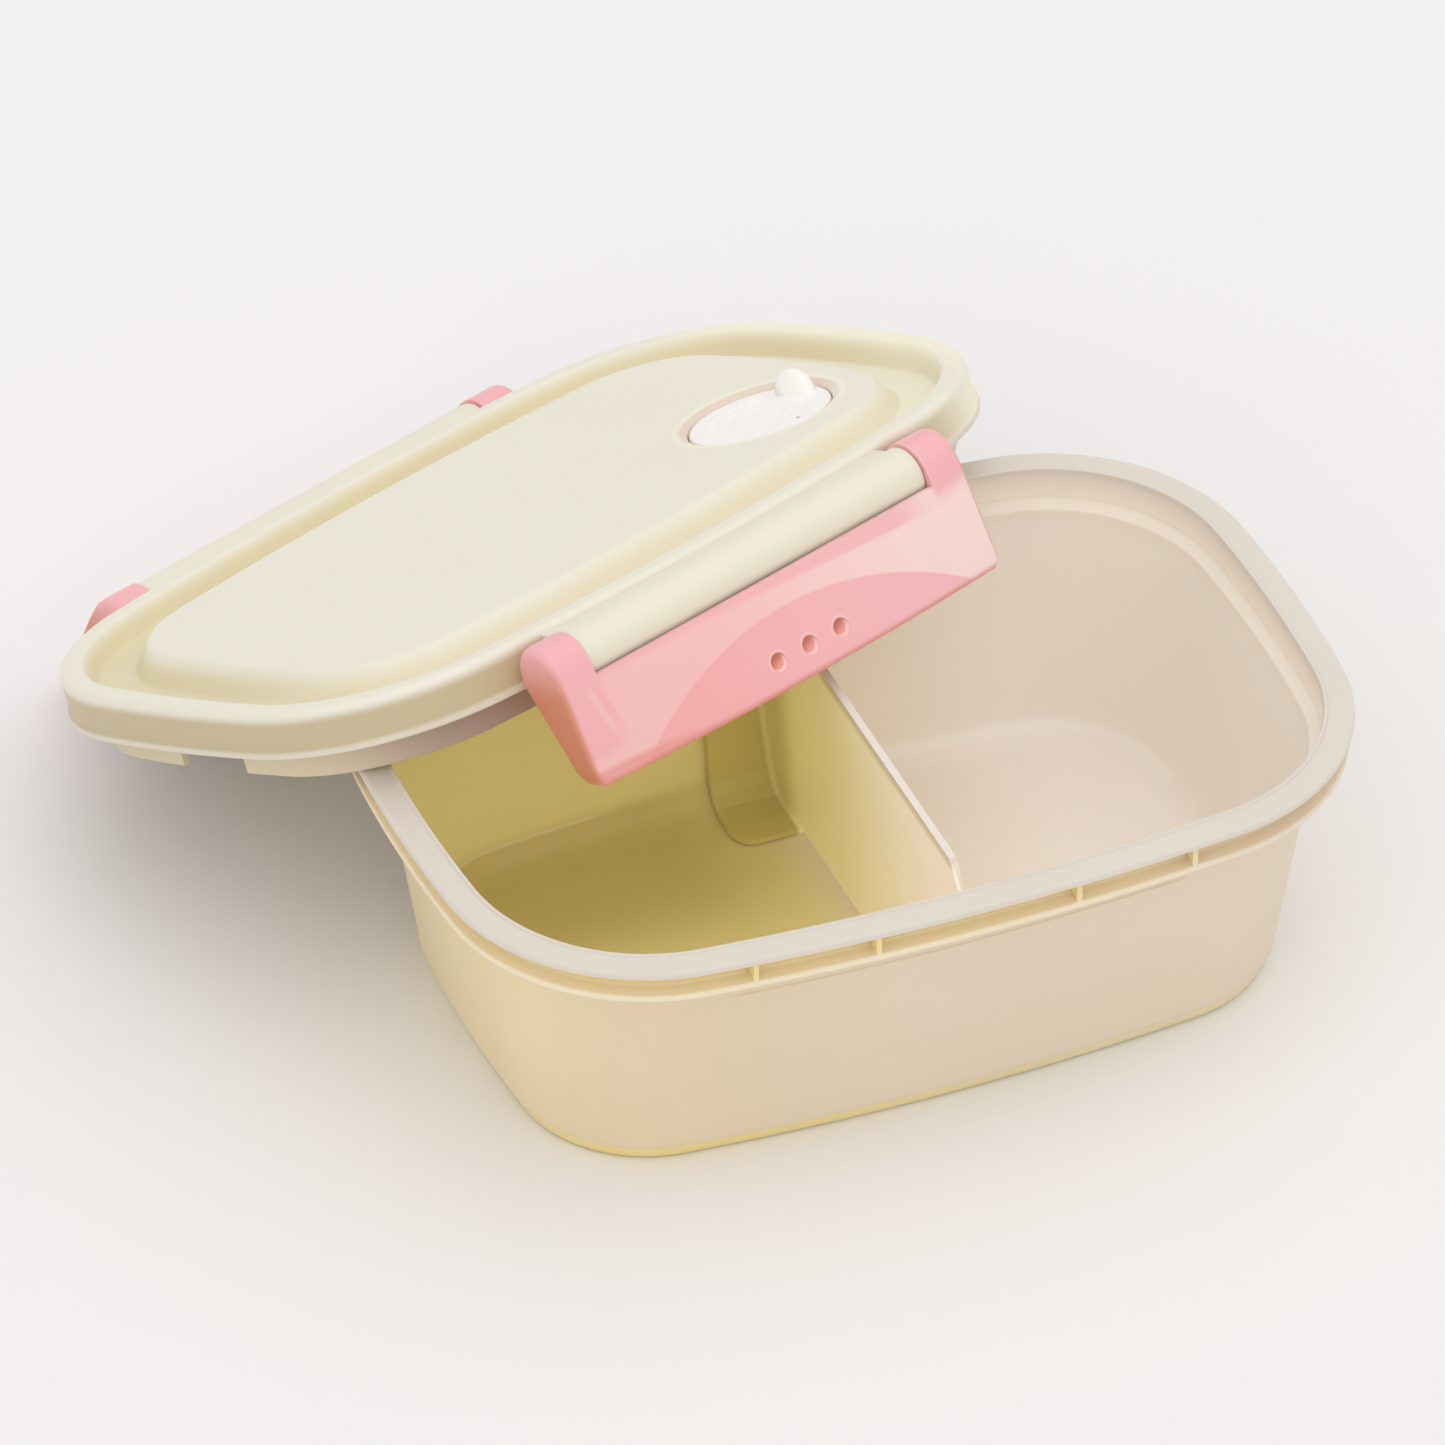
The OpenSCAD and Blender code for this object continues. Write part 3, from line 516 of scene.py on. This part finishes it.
class Paint:
    """Material of one moulded finish."""

    def __init__(self, name, colour, roughness):
        self.material = bpy.data.materials.new(name)
        self.material.use_nodes = True
        self.tree = self.material.node_tree
        self.skin = next(n for n in self.tree.nodes if n.type == "BSDF_PRINCIPLED")
        self.skin.inputs["Base Color"].default_value = colour
        self.skin.inputs["Roughness"].default_value = roughness

    def node(self, kind, settings=None, inputs=None, output=0):
        """New node with its settings first, then the values or links of its sockets."""
        made = self.tree.nodes.new(kind)
        for name, value in (settings or {}).items():
            setattr(made, name, value)
        for name, value in (inputs or {}).items():
            self.plug(made.inputs[name], value)
        return Wire(self, made.outputs[output])

    def plug(self, socket, value):
        if isinstance(value, Wire):
            self.tree.links.new(value.socket, socket)
        else:
            socket.default_value = value

    def sum(self, operation, *values):
        return self.node("ShaderNodeMath", {"operation": operation}, dict(enumerate(values)))

    def distance(self, across, up):
        return self.sum("SQRT", across * across + up * up)

    def place(self, matrix=None):
        """Object coordinates, or those of a piece's own frame in millimetres."""
        spot = self.node("ShaderNodeTexCoord", output="Object")
        if matrix is None:
            return spot
        back = matrix.inverted()
        return self.node("ShaderNodeMapping", None, {
            "Vector": spot, "Location": back.to_translation(),
            "Rotation": tuple(back.to_euler()), "Scale": (1000, 1000, 1000)})

    def axes(self, matrix):
        """The three coordinates in a piece's own frame."""
        apart = self.node("ShaderNodeSeparateXYZ", None, {0: self.place(matrix)})
        return [Wire(self, o) for o in apart.socket.node.outputs]

    def inner(self):
        """The mark that loft left on the mesh."""
        return self.node("ShaderNodeAttribute", {"attribute_name": "inner"}, output="Fac")

    def noise(self, spot, scale, detail):
        return self.node("ShaderNodeTexNoise", None,
                         {"Vector": spot, "Scale": scale, "Detail": detail}, "Fac")

    def ramp(self, value, low, high):
        """0 below low, 1 above high, smooth between."""
        return self.node("ShaderNodeMapRange", {"interpolation_type": "SMOOTHSTEP"},
                         {"Value": value, "From Min": low, "From Max": high})

    def fall(self, value, low, high):
        """1 below low, 0 above high, smooth between."""
        return 1 - self.ramp(value, low, high)

    def mix(self, share, a, b):
        """Colour a where the share is 0, and b where it is 1."""
        return self.node("ShaderNodeMix", {"data_type": "RGBA"}, {0: share, 6: a, 7: b}, 2)

    def blend(self, value, stops):
        """Colour that changes along a value, from stops of (place, colour)."""
        colour = stops[0][1]
        for (low, _), (high, after) in zip(stops, stops[1:]):
            colour = self.mix(self.ramp(value, low, high), colour, after)
        return colour

    def colour(self, value):
        self.plug(self.skin.inputs["Base Color"], value)

    def roughness(self, value):
        self.plug(self.skin.inputs["Roughness"], value)

    def bump(self, height, strength, distance):
        self.plug(self.skin.inputs["Normal"], self.node(
            "ShaderNodeBump", None, {"Height": height, "Strength": strength, "Distance": distance},
            output="Normal"))

    def painted_glow(self, value):
        """Painted glow: emission that stands in for light coming through the thin plastic."""
        self.skin.inputs["Emission Strength"].default_value = 1
        self.plug(self.skin.inputs["Emission Color"], value)


GRAIN_DEPTH, GRAIN_STRENGTH, GRAIN_SCALE, WAVE_SCALE = 0.000012, 0.35, 2600, 240
GLOSS_SPREAD, GLOSS_SCALE = 0.12, 160
CLOUD_SHARE, CLOUD_SCALE = 0.35, 26


def moulded(name, colour, roughness):
    """Moulded plastic: a fine satin grain and slightly uneven gloss.

    Each finish puts its own colours over the plain one, which stays on the socket.
    """
    paint = Paint(name, colour, roughness)
    spot = paint.place()
    gloss = paint.noise(spot, GLOSS_SCALE, 3) * GLOSS_SPREAD
    paint.roughness(gloss + (roughness - GLOSS_SPREAD / 2))
    grain = paint.noise(spot, GRAIN_SCALE, 2) + paint.noise(spot, WAVE_SCALE, 2) * 0.6
    paint.bump(grain, GRAIN_STRENGTH, GRAIN_DEPTH)
    return paint, spot


def clouded(paint, spot, colour, shade, keep=0.9):
    """Finishes with the colour, in soft, faint clouds that lean towards a shade."""
    clouds = paint.ramp(paint.noise(spot, CLOUD_SCALE, 3), 0.35, 0.75) * CLOUD_SHARE
    paint.colour(paint.mix(clouds, colour, paint.mix(keep, shade, colour)))


# ---------- Finish of the container ----------

# Tones of the places (C_), several of them painted light and shade on the one plastic, and the
# painted glow, emission that stands in for light coming through the plastic (G_).
NO_GLOW = (0, 0, 0, 1)
C_FOOT, C_FOOT_END = tone(250, 230, 158), tone(242, 229, 186)
C_WALL, C_WALL_LEFT, C_WALL_END = tone(236, 220, 196), tone(237, 219, 184), tone(250, 232, 184)
C_FLANGE, C_FLANGE_END = tone(249, 235, 207), tone(240, 225, 206)
C_GROOVE_SHADE, C_GROOVE_SHADE_END = tone(250, 230, 166), tone(242, 228, 196)
C_RIM, C_WALL_HIGHLIGHT, C_FLOOR_SHADE = tone(228, 219, 208), tone(255, 250, 238), tone(214, 198, 124)
C_LEFT_LID_SHADE_LOW, C_LEFT_LID_SHADE = tone(245, 233, 172), tone(245, 235, 178)
C_RIGHT_LIT_LOW, C_RIGHT_LIT = tone(249, 238, 224), tone(248, 237, 222)
C_RIGHT_LIT_NEAR, CREAM_SHADE = tone(249, 237, 208), tone(200, 170, 120)
G_FLOOR, G_FLOOR_NEAR = (0.03, 0.03, 0.005, 1), (0.2, 0.165, 0.1, 1)
G_WALL, G_WALL_END = (0.03, 0.035, 0.012, 1), (0.05, 0.05, 0.02, 1)
G_RIGHT, G_STEP = (0.02, 0.03, 0.045, 1), (0.075, 0.064, 0.05, 1)
LEFT_HIGHLIGHT_Z, RIGHT_HIGHLIGHT_Z = 7.2, 4.8


def container_finish():
    """Cream outside; inside, painted light and shade: olive in the left compartment under the lid,
    lighter and pinkish in the right one, with a painted shadow on the far floor, a painted
    highlight line on the far wall and a painted glow.
    """
    paint, spot = moulded("container_cream", tone(232, 217, 186), 0.42)
    x, y, z = paint.axes(STAND)
    inner = paint.inner()

    foot = paint.mix(paint.ramp(x, -50, 40), C_FOOT, C_FOOT_END)
    wall = paint.mix(paint.ramp(x, -75, -5), C_WALL_LEFT, C_WALL)
    flange = paint.mix(paint.ramp(x, 0, 90), C_FLANGE, C_FLANGE_END)
    # Painted shade: the groove under the rim is yellower, for the shade it lies in.
    groove = paint.mix(paint.ramp(x, 0, 90), C_GROOVE_SHADE, C_GROOVE_SHADE_END)
    outside = paint.blend(z, [
        (0, foot), (2.4, foot), (4.6, wall), (46, wall), (54, flange), (55.4, flange),
        (56.2, groove), (60, groove), (60.7, C_RIM)])
    outside = paint.mix(paint.fall(x, -96, -72) * paint.fall(z, 50, 56), outside, C_WALL_END)

    # Painted light and shade inside: the left compartment olive, for the shade under the lid and
    # the warm light through it, the right one lighter and pinkish.
    left = paint.blend(z, [(2, C_LEFT_LID_SHADE_LOW), (40, C_LEFT_LID_SHADE), (54, C_LEFT_LID_SHADE), (61.5, C_RIM)])
    right = paint.blend(z, [(2, C_RIGHT_LIT_LOW), (40, C_RIGHT_LIT), (54, C_RIGHT_LIT), (61.5, C_RIM)])
    right = paint.mix(paint.ramp(x, 12, 56) + paint.ramp(z, 54, 60), C_RIGHT_LIT_NEAR, right)
    inside = paint.mix(paint.ramp(x, -14, 20), left, right)
    # Painted shadow: the far floor of the left compartment darker and olive.
    floor_shade = paint.ramp(y, 0, 28) * paint.fall(z, 6, 9) * paint.fall(x, -26, 0)
    inside = paint.mix(floor_shade * 0.7, inside, C_FLOOR_SHADE)
    # Painted highlight: a pale line along the far wall where it turns into the floor.
    line = paint.mix(paint.ramp(x, -14, -4), paint.fall(abs(z - LEFT_HIGHLIGHT_Z), 0.1, 0.5),
                     paint.fall(abs(z - RIGHT_HIGHLIGHT_Z), 0.3, 1.6))
    ends = paint.fall(x, -38, -30) + paint.ramp(x, 0, 20)
    inside = paint.mix(line * (y > 20) * ends * 0.4, inside, C_WALL_HIGHLIGHT)
    clouded(paint, spot, paint.mix(inner, outside, inside), CREAM_SHADE)

    # Painted glow: emission on the inside that stands in for light coming through the plastic, on
    # the floor, the walls and the step under the rim.
    floor = paint.mix(paint.fall(y, -62, 0), G_FLOOR, G_FLOOR_NEAR)
    floor = paint.mix(paint.ramp(y, 8, 34), floor, NO_GLOW)
    walls = paint.mix(paint.fall(x, -90, -50), G_WALL, G_WALL_END)
    painted_glow = paint.mix(paint.ramp(z, 6, 11), floor, walls)
    painted_glow = paint.mix(paint.ramp(x, -4, 6), painted_glow, G_RIGHT)
    painted_glow = paint.mix(paint.ramp(z, 50, 54), painted_glow, NO_GLOW)
    painted_glow = paint.mix(paint.ramp(z, 55.3, 56.2) * paint.ramp(x, -14, 20), painted_glow, G_STEP)
    paint.painted_glow(paint.mix(inner * paint.fall(z, 60, 61.8), NO_GLOW, painted_glow))
    return paint


# ---------- Finish of the divider ----------

# Tones of the divider with their painted light and shade (D_), its painted glow (G_), and the
# plane in its middle (mm).
D_LEFT_LIT_NEAR, D_LEFT_SHADE_FAR, D_TONGUE_SHADE = tone(251, 240, 224), tone(247, 236, 180), tone(222, 208, 138)
D_RIGHT_LIT, D_TOP = tone(249, 238, 222), tone(240, 231, 222)
G_DIVIDER_NEAR, G_DIVIDER_FAR = (0.2, 0.175, 0.2, 1), (0.13, 0.12, 0.055, 1)
DIVIDER_X, DIVIDER_Z, DIVIDER_LEAN = 6, 2, 0.0717


def divider_finish():
    """Each face of the leaning panel painted with the light and shade of its own compartment, and
    a painted glow on its left face.
    """
    paint, spot = moulded("divider_cream", tone(238, 222, 190), 0.4)
    x, y, z = paint.axes(STAND)
    side = (x - DIVIDER_X) + (z - DIVIDER_Z) * DIVIDER_LEAN
    # Painted light and shade on the left face: lit near the front, olive shade far under the lid,
    # darker by the tongue; the right face lighter as painted light.
    left = paint.blend(y, [(-48, D_LEFT_LIT_NEAR), (40, D_LEFT_SHADE_FAR)])
    left = paint.mix(paint.fall(side, -2.4, -1.4) * (y > 0), left, D_TONGUE_SHADE)
    whole = paint.mix(paint.ramp(side, -0.5, 0.5), left, D_RIGHT_LIT)
    whole = paint.mix(paint.ramp(z, 57.5, 59), whole, D_TOP)
    clouded(paint, spot, whole, CREAM_SHADE)
    # Painted glow on the left face: emission that stands in for light reaching it under the lid.
    face = paint.ramp(side + (y < 0) * 30, -2.2, -1.2) * paint.fall(side, -0.5, 0.2)
    face = face * paint.fall(y, 34, 46) * paint.fall(z, 56, 58)
    painted_glow = paint.blend(y, [(-55, G_DIVIDER_NEAR), (35, G_DIVIDER_FAR)])
    paint.painted_glow(paint.mix(face, NO_GLOW, painted_glow))
    return paint


# ---------- Finish of the lid, its seal and the vent plug ----------

# Tones of the lid (L_), several of them painted light and shade, and of the vent plug (V_).
L_RING_LIT, L_RING_SHADE, L_BEAD = tone(232, 220, 182), tone(186, 160, 152), tone(228, 219, 202)
L_SIDE_SHADE, L_SIDE_LIT_END = tone(205, 189, 153), tone(250, 243, 220)
L_TOP, L_TOP_END = tone(242, 237, 220), tone(252, 246, 222)
L_GUTTER_SHADE, L_GUTTER_SHADE_END = tone(235, 225, 190), tone(247, 241, 216)
L_SLOPE_SHADE, L_SLOPE_SHADE_FAR = tone(239, 230, 202), tone(232, 220, 184)
L_BARREL, L_CUP_SHADE, L_CREST_HIGHLIGHT = tone(240, 236, 215), tone(232, 213, 195), tone(252, 244, 224)
V_FACE, V_CLOUD, V_EDGE = tone(255, 252, 248), tone(253, 250, 245), tone(250, 232, 218)
LID_SHADE, V_MARK = tone(206, 180, 130), tone(90, 84, 80)
BARREL_START, CREST_RADIUS, MARK_X, MARK_Y = 66.8, 18.1, 54.8, -30.3


def ring_light_and_shade(paint, x):
    """Painted light and shade on the plug ring under the skirt: yellow where bounced light reaches
    its left end, greyer and mauve in its shade further on, and the bead's tone at its right end.
    """
    left = paint.mix(paint.ramp(x, -100, -64), L_RING_LIT, L_RING_SHADE)
    return paint.mix(paint.ramp(x, 50, 80), left, L_BEAD)


def lid_finish():
    """Cream lid with painted shade in its gutter, on its skirt and in the vent's cup, and painted
    light at the skirt's right end and on the crest round the cup.
    """
    paint, spot = moulded("lid_cream", tone(240, 235, 219), 0.4)
    x, y, z = paint.axes(LID_PLACE)
    ring = ring_light_and_shade(paint, x)
    # Painted shade on the skirt's side, turning to painted light at its right end.
    flank_light_and_shade = paint.mix(paint.ramp(x, 55, 85), L_SIDE_SHADE, L_SIDE_LIT_END)
    skirt = paint.blend(z, [
        (-15, ring), (-10.2, ring), (-9.8, L_BEAD), (-9.0, L_BEAD), (-7.8, flank_light_and_shade),
        (-3.0, flank_light_and_shade), (-0.6, L_TOP)])
    # Painted shade in the tray: darker and yellower down the slope and in the gutter than on the
    # plateau.
    gutter = paint.mix(paint.ramp(x, 20, 75), L_GUTTER_SHADE, L_GUTTER_SHADE_END)
    slope = paint.mix(paint.ramp(y, -30, 10), L_SLOPE_SHADE, L_SLOPE_SHADE_FAR)
    top = paint.mix(paint.ramp(x, 78, 93), L_TOP, L_TOP_END)
    tray = paint.mix(paint.ramp(z, -4.9, -4.5), gutter, slope)
    tray = paint.mix(paint.ramp(z, -2.5, 0.5), tray, top)
    whole = paint.mix(paint.inner() > 0.5, skirt, tray)
    whole = paint.mix((abs(y) > BARREL_START) * (z > -9.7), whole, L_BARREL)

    across, along = x - VENT_X, y - VENT_Y
    far = paint.ramp(across * 0.39 + along * 0.92, -5, 5)
    away = paint.distance(across, along)
    # Painted shade on the far wall of the vent's cup.
    cup = paint.ramp(away, 15.0, 15.6) * paint.fall(away, 16.9, 17.5) * (z > -1.9)
    whole = paint.mix(cup * (far * 0.8 + 0.1), whole, L_CUP_SHADE)
    # Painted highlight on the crest round the vent's cup.
    crest = paint.fall(abs(away - CREST_RADIUS), 0.3, 1.0)
    whole = paint.mix(crest * (z > 0) * 0.7, whole, L_CREST_HIGHLIGHT)
    clouded(paint, spot, whole, LID_SHADE, 0.92)
    return paint


def seal_finish():
    """The soft ring takes the plug ring's tone, with its painted light and shade."""
    paint, _ = moulded("seal_cream", tone(230, 216, 182), 0.5)
    x, _, _ = paint.axes(LID_PLACE)
    paint.colour(ring_light_and_shade(paint, x))
    return paint


def plug_finish():
    """White, with the small dark mark of the moulding point."""
    paint, spot = moulded("vent_white", V_FACE, 0.45)
    x, y, _ = paint.axes(LID_PLACE)
    white = paint.mix(paint.ramp(paint.noise(spot, 28, 3), 0.3, 0.7), V_FACE, V_CLOUD)
    away = paint.distance(x - VENT_X, y - VENT_Y)
    white = paint.mix(paint.ramp(away, 15.0, 15.3), white, V_EDGE)
    mark = paint.fall(paint.distance(x - MARK_X, y - MARK_Y), 0.25, 0.6)
    paint.colour(paint.mix(mark * 0.7, white, V_MARK))
    return paint


# ---------- Finish of the latches ----------

# Tones of the salmon pink plastic (P_), most of them painted light and shade.
P_FACE, P_LIGHT, P_ARM = tone(253, 197, 195), tone(255, 224, 220), tone(250, 184, 188)
P_PATCH_SHADE, P_PATCH_SHADE_FAR, P_PATCH_EDGE_SHADE = tone(251, 178, 179), tone(252, 191, 195), tone(247, 172, 172)
P_FOOT_SHADE, P_SIDE_SHADE, P_SHADE = tone(240, 158, 154), tone(224, 144, 118), tone(230, 120, 120)
P_DIMPLE_SHADE, P_DIMPLE_LIT, P_GLINT = tone(206, 126, 112), tone(244, 160, 148), tone(255, 222, 214)
PATCH_X, PATCH_Z, PATCH_RADIUS = 1.4, -88.4, 79.5
FOLD_X, FOLD_Z, FOLD_LEAN = -49.5, -3.5, 0.225
DIMPLE_RADIUS = 2.1


def dimpled(paint, face, x, z):
    """The face with painted shade and a painted glint in three hollows, and painted highlights on
    their lips.
    """
    beside = paint.sum("WRAP", x - DIMPLE_X, DIMPLE_STEP / 2, -DIMPLE_STEP / 2)
    below = z - DIMPLE_Z
    away = paint.distance(beside, below)
    three = 1 - (abs(x - DIMPLE_X) > DIMPLE_STEP * 1.5)
    lean = paint.ramp(beside * 0.5 - below * 0.87, -1.2, 1.2)
    glint = paint.fall(abs(away - (DIMPLE_RADIUS - 0.35)), 0.1, 0.45) * lean
    lip = paint.fall(abs(away - (DIMPLE_RADIUS + 0.3)), 0.05, 0.4) * (1 - lean)
    hollow = paint.mix(glint * 0.8, paint.mix(lean, P_DIMPLE_SHADE, P_DIMPLE_LIT), P_GLINT)
    inside = paint.fall(away, DIMPLE_RADIUS - 0.15, DIMPLE_RADIUS + 0.1)
    face = paint.mix(three * inside, face, hollow)
    return paint.mix(three * lip * 0.4, face, P_GLINT)


def latch_finish(place, name):
    """Salmon pink, with painted shade: a deeper rounded patch on the face, a band under the
    barrel, a fold, the dimples, the lower edge and the sides; and painted highlights beside the
    fold and in the dimples.
    """
    paint, spot = moulded(name, P_FACE, 0.34)
    x, y, z = paint.axes(place)
    across = paint.ramp(x, -30, 56)
    face = paint.mix(across, P_FACE, P_LIGHT)

    # Painted shade: a deeper rounded patch where the face is hollowed, with a darker line round
    # its edge.
    away = paint.distance(x - PATCH_X, z - PATCH_Z)
    patch = paint.mix(paint.ramp(x, -45, 45), P_PATCH_SHADE, P_PATCH_SHADE_FAR)
    face = paint.mix(paint.fall(away, PATCH_RADIUS - 0.2, PATCH_RADIUS + 0.2), face, patch)
    face = paint.mix(paint.fall(abs(away - PATCH_RADIUS), 0.1, 0.5) * 0.4, face, P_PATCH_EDGE_SHADE)

    # Painted shade: a deeper pink band under the barrel, where the face turns towards it.
    band = paint.fall(-3.6 - z - across * 3.2, -0.7, 0.7)
    band = band * (1 - paint.ramp(x, 34, 46) * 0.85)
    face = paint.mix(band * 0.8, face, P_ARM)
    arm = paint.ramp(abs(x), 45.5, 48) * paint.ramp(z + 0.135 * (56 - x), -5.6, -1.8)
    face = paint.mix(arm, face, P_ARM)

    # Painted shade and highlight of a shallow fold by the left arm: a deeper line with a lighter
    # band beside it.
    fold = (x - FOLD_X) + (z - FOLD_Z) * FOLD_LEAN
    length = paint.ramp(z, -17, -13) * paint.fall(z, -5.5, -3.5)
    face = paint.mix(paint.fall(abs(fold - 0.9), 0.1, 1.3) * length * 0.5, face, P_PATCH_SHADE)
    face = paint.mix(paint.fall(abs(fold + 1.1), 0.1, 1.5) * length * 0.3, face, P_LIGHT)
    face = dimpled(paint, face, x, z)

    # Painted shade on the rounded lower edge, which faces down.
    foot = paint.fall(z - paint.fall(x, -48, -20) * 2.2, -23.7, -22.1)
    face = paint.mix(foot * 0.8, face, P_FOOT_SHADE)
    # Painted shade on the sides at the ends.
    side = paint.ramp(abs(x), 54.9, 56.2)
    face = paint.mix(side, face, paint.mix(paint.ramp(z, -6, 7), P_SIDE_SHADE, P_ARM))
    clouded(paint, spot, face, P_SHADE)
    return paint


# ---------- The pieces on their bodies ----------

SHARP_ANGLE = 34


def shade(mesh, angle):
    """Smooth shading with sharp edges where the surface turns."""
    bm = bmesh.new()
    bm.from_mesh(mesh)
    for f in bm.faces:
        f.smooth = True
    for e in bm.edges:
        e.smooth = len(e.link_faces) == 2 and e.calc_face_angle(0) < radians(angle)
    bm.to_mesh(mesh)
    bm.free()


def dress(piece, paint):
    """Gives the piece this material alone."""
    piece.data.materials.clear()
    piece.data.materials.append(paint.material)


def finish_piece(piece, place, node, paint, angle=SHARP_ANGLE):
    """Puts the piece in the row frame, in metres, and hands it to the body of the node."""
    piece.data.transform(Matrix.Scale(MM, 4) @ place)
    shade(piece.data, angle)
    dress(piece, paint)
    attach(piece, node)
    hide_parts(node)


finish_piece(drawn("container_body", draw_container), STAND, "container",
             container_finish())
finish_piece(build_lid(), LID_PLACE, "lid", lid_finish(), angle=24)
finish_piece(drawn("vent_stopper", draw_plug), LID_PLACE, "vent_plug", plug_finish(),
             angle=40)
finish_piece(build_latch("front_clip", FRONT_HINGE), FRONT_PLACE, "front_latch",
             latch_finish(FRONT_PLACE, "front_salmon"))
finish_piece(build_latch("rear_clip", REAR_HINGE), REAR_PLACE, "rear_latch",
             latch_finish(REAR_PLACE, "rear_salmon"))

for node, paint in (("divider", divider_finish()), ("lid_seal", seal_finish())):
    for s in bpy.data.objects[node].material_slots:
        s.material = paint.material


# ---------- Camera, table and light ----------

# Degrees; the target is in mm, the distance and the table are in metres.
LENS, CAMERA_TILT, CAMERA_TURN, CAMERA_ROLL = 687.3, 38.317, -22.883, 0.079
CAMERA_AWAY, CAMERA_TARGET = 5.7304, (5.198, 78.525, 0)
TABLE_SIZE, TABLE_DROP = 8, 0.0002
SKY_STRENGTH = 0.695


def look(name, data, matrix):
    """Object for a camera or a lamp, at its place."""
    made = bpy.data.objects.new(name, data)
    made.matrix_world = matrix
    bpy.context.scene.collection.objects.link(made)
    return made


def lamp(name, strength, angle, azimuth, elevation, colour):
    """Broad sun-like lamp from a compass direction, 0 towards +Y and 90 towards +X."""
    data = bpy.data.lights.new(name, "SUN")
    data.energy, data.angle, data.color = strength, radians(angle), colour
    a, e = radians(azimuth), radians(elevation)
    way = Vector((sin(a) * cos(e), cos(a) * cos(e), sin(e)))
    look(name, data, way.to_track_quat("Z", "Y").to_matrix().to_4x4())


lens = bpy.data.cameras.new("view")
lens.sensor_fit, lens.sensor_width, lens.lens = "HORIZONTAL", 36, LENS
lens.clip_start, lens.clip_end = 0.1, 40
aim = Euler((radians(90 - CAMERA_TILT), 0, radians(CAMERA_TURN))).to_matrix() @ Matrix.Rotation(
    radians(CAMERA_ROLL), 3, "Z")
spot = Vector(CAMERA_TARGET) * MM + aim @ Vector((0, 0, CAMERA_AWAY))
bpy.context.scene.camera = look("view", lens, Matrix.Translation(spot) @ aim.to_4x4())

bm = bmesh.new()
bmesh.ops.create_grid(bm, x_segments=2, y_segments=2, size=TABLE_SIZE)
bmesh.ops.translate(bm, verts=bm.verts, vec=(0, 0, -TABLE_DROP))
table = solid("table", bm)
table_paint = Paint("table_white", tone(245, 242, 240), 0.9)
cloud = table_paint.noise(table_paint.place(), 3, 2)
table_paint.colour(table_paint.mix(table_paint.ramp(cloud, 0.3, 0.7), tone(246, 244, 244),
                                   tone(245, 243, 243)))
dress(table, table_paint)

world = bpy.data.worlds.new("soft_box")
world.use_nodes = True
world.node_tree.nodes["Background"].inputs["Color"].default_value = (1, 1, 1, 1)
world.node_tree.nodes["Background"].inputs["Strength"].default_value = SKY_STRENGTH
bpy.context.scene.world = world

lamp("key", strength=0.35, angle=60, azimuth=60, elevation=60, colour=(1, 0.99, 0.97))
lamp("fill", strength=0.70, angle=84, azimuth=205, elevation=58, colour=(1, 0.995, 0.985))

bpy.context.scene.view_settings.view_transform = "Standard"
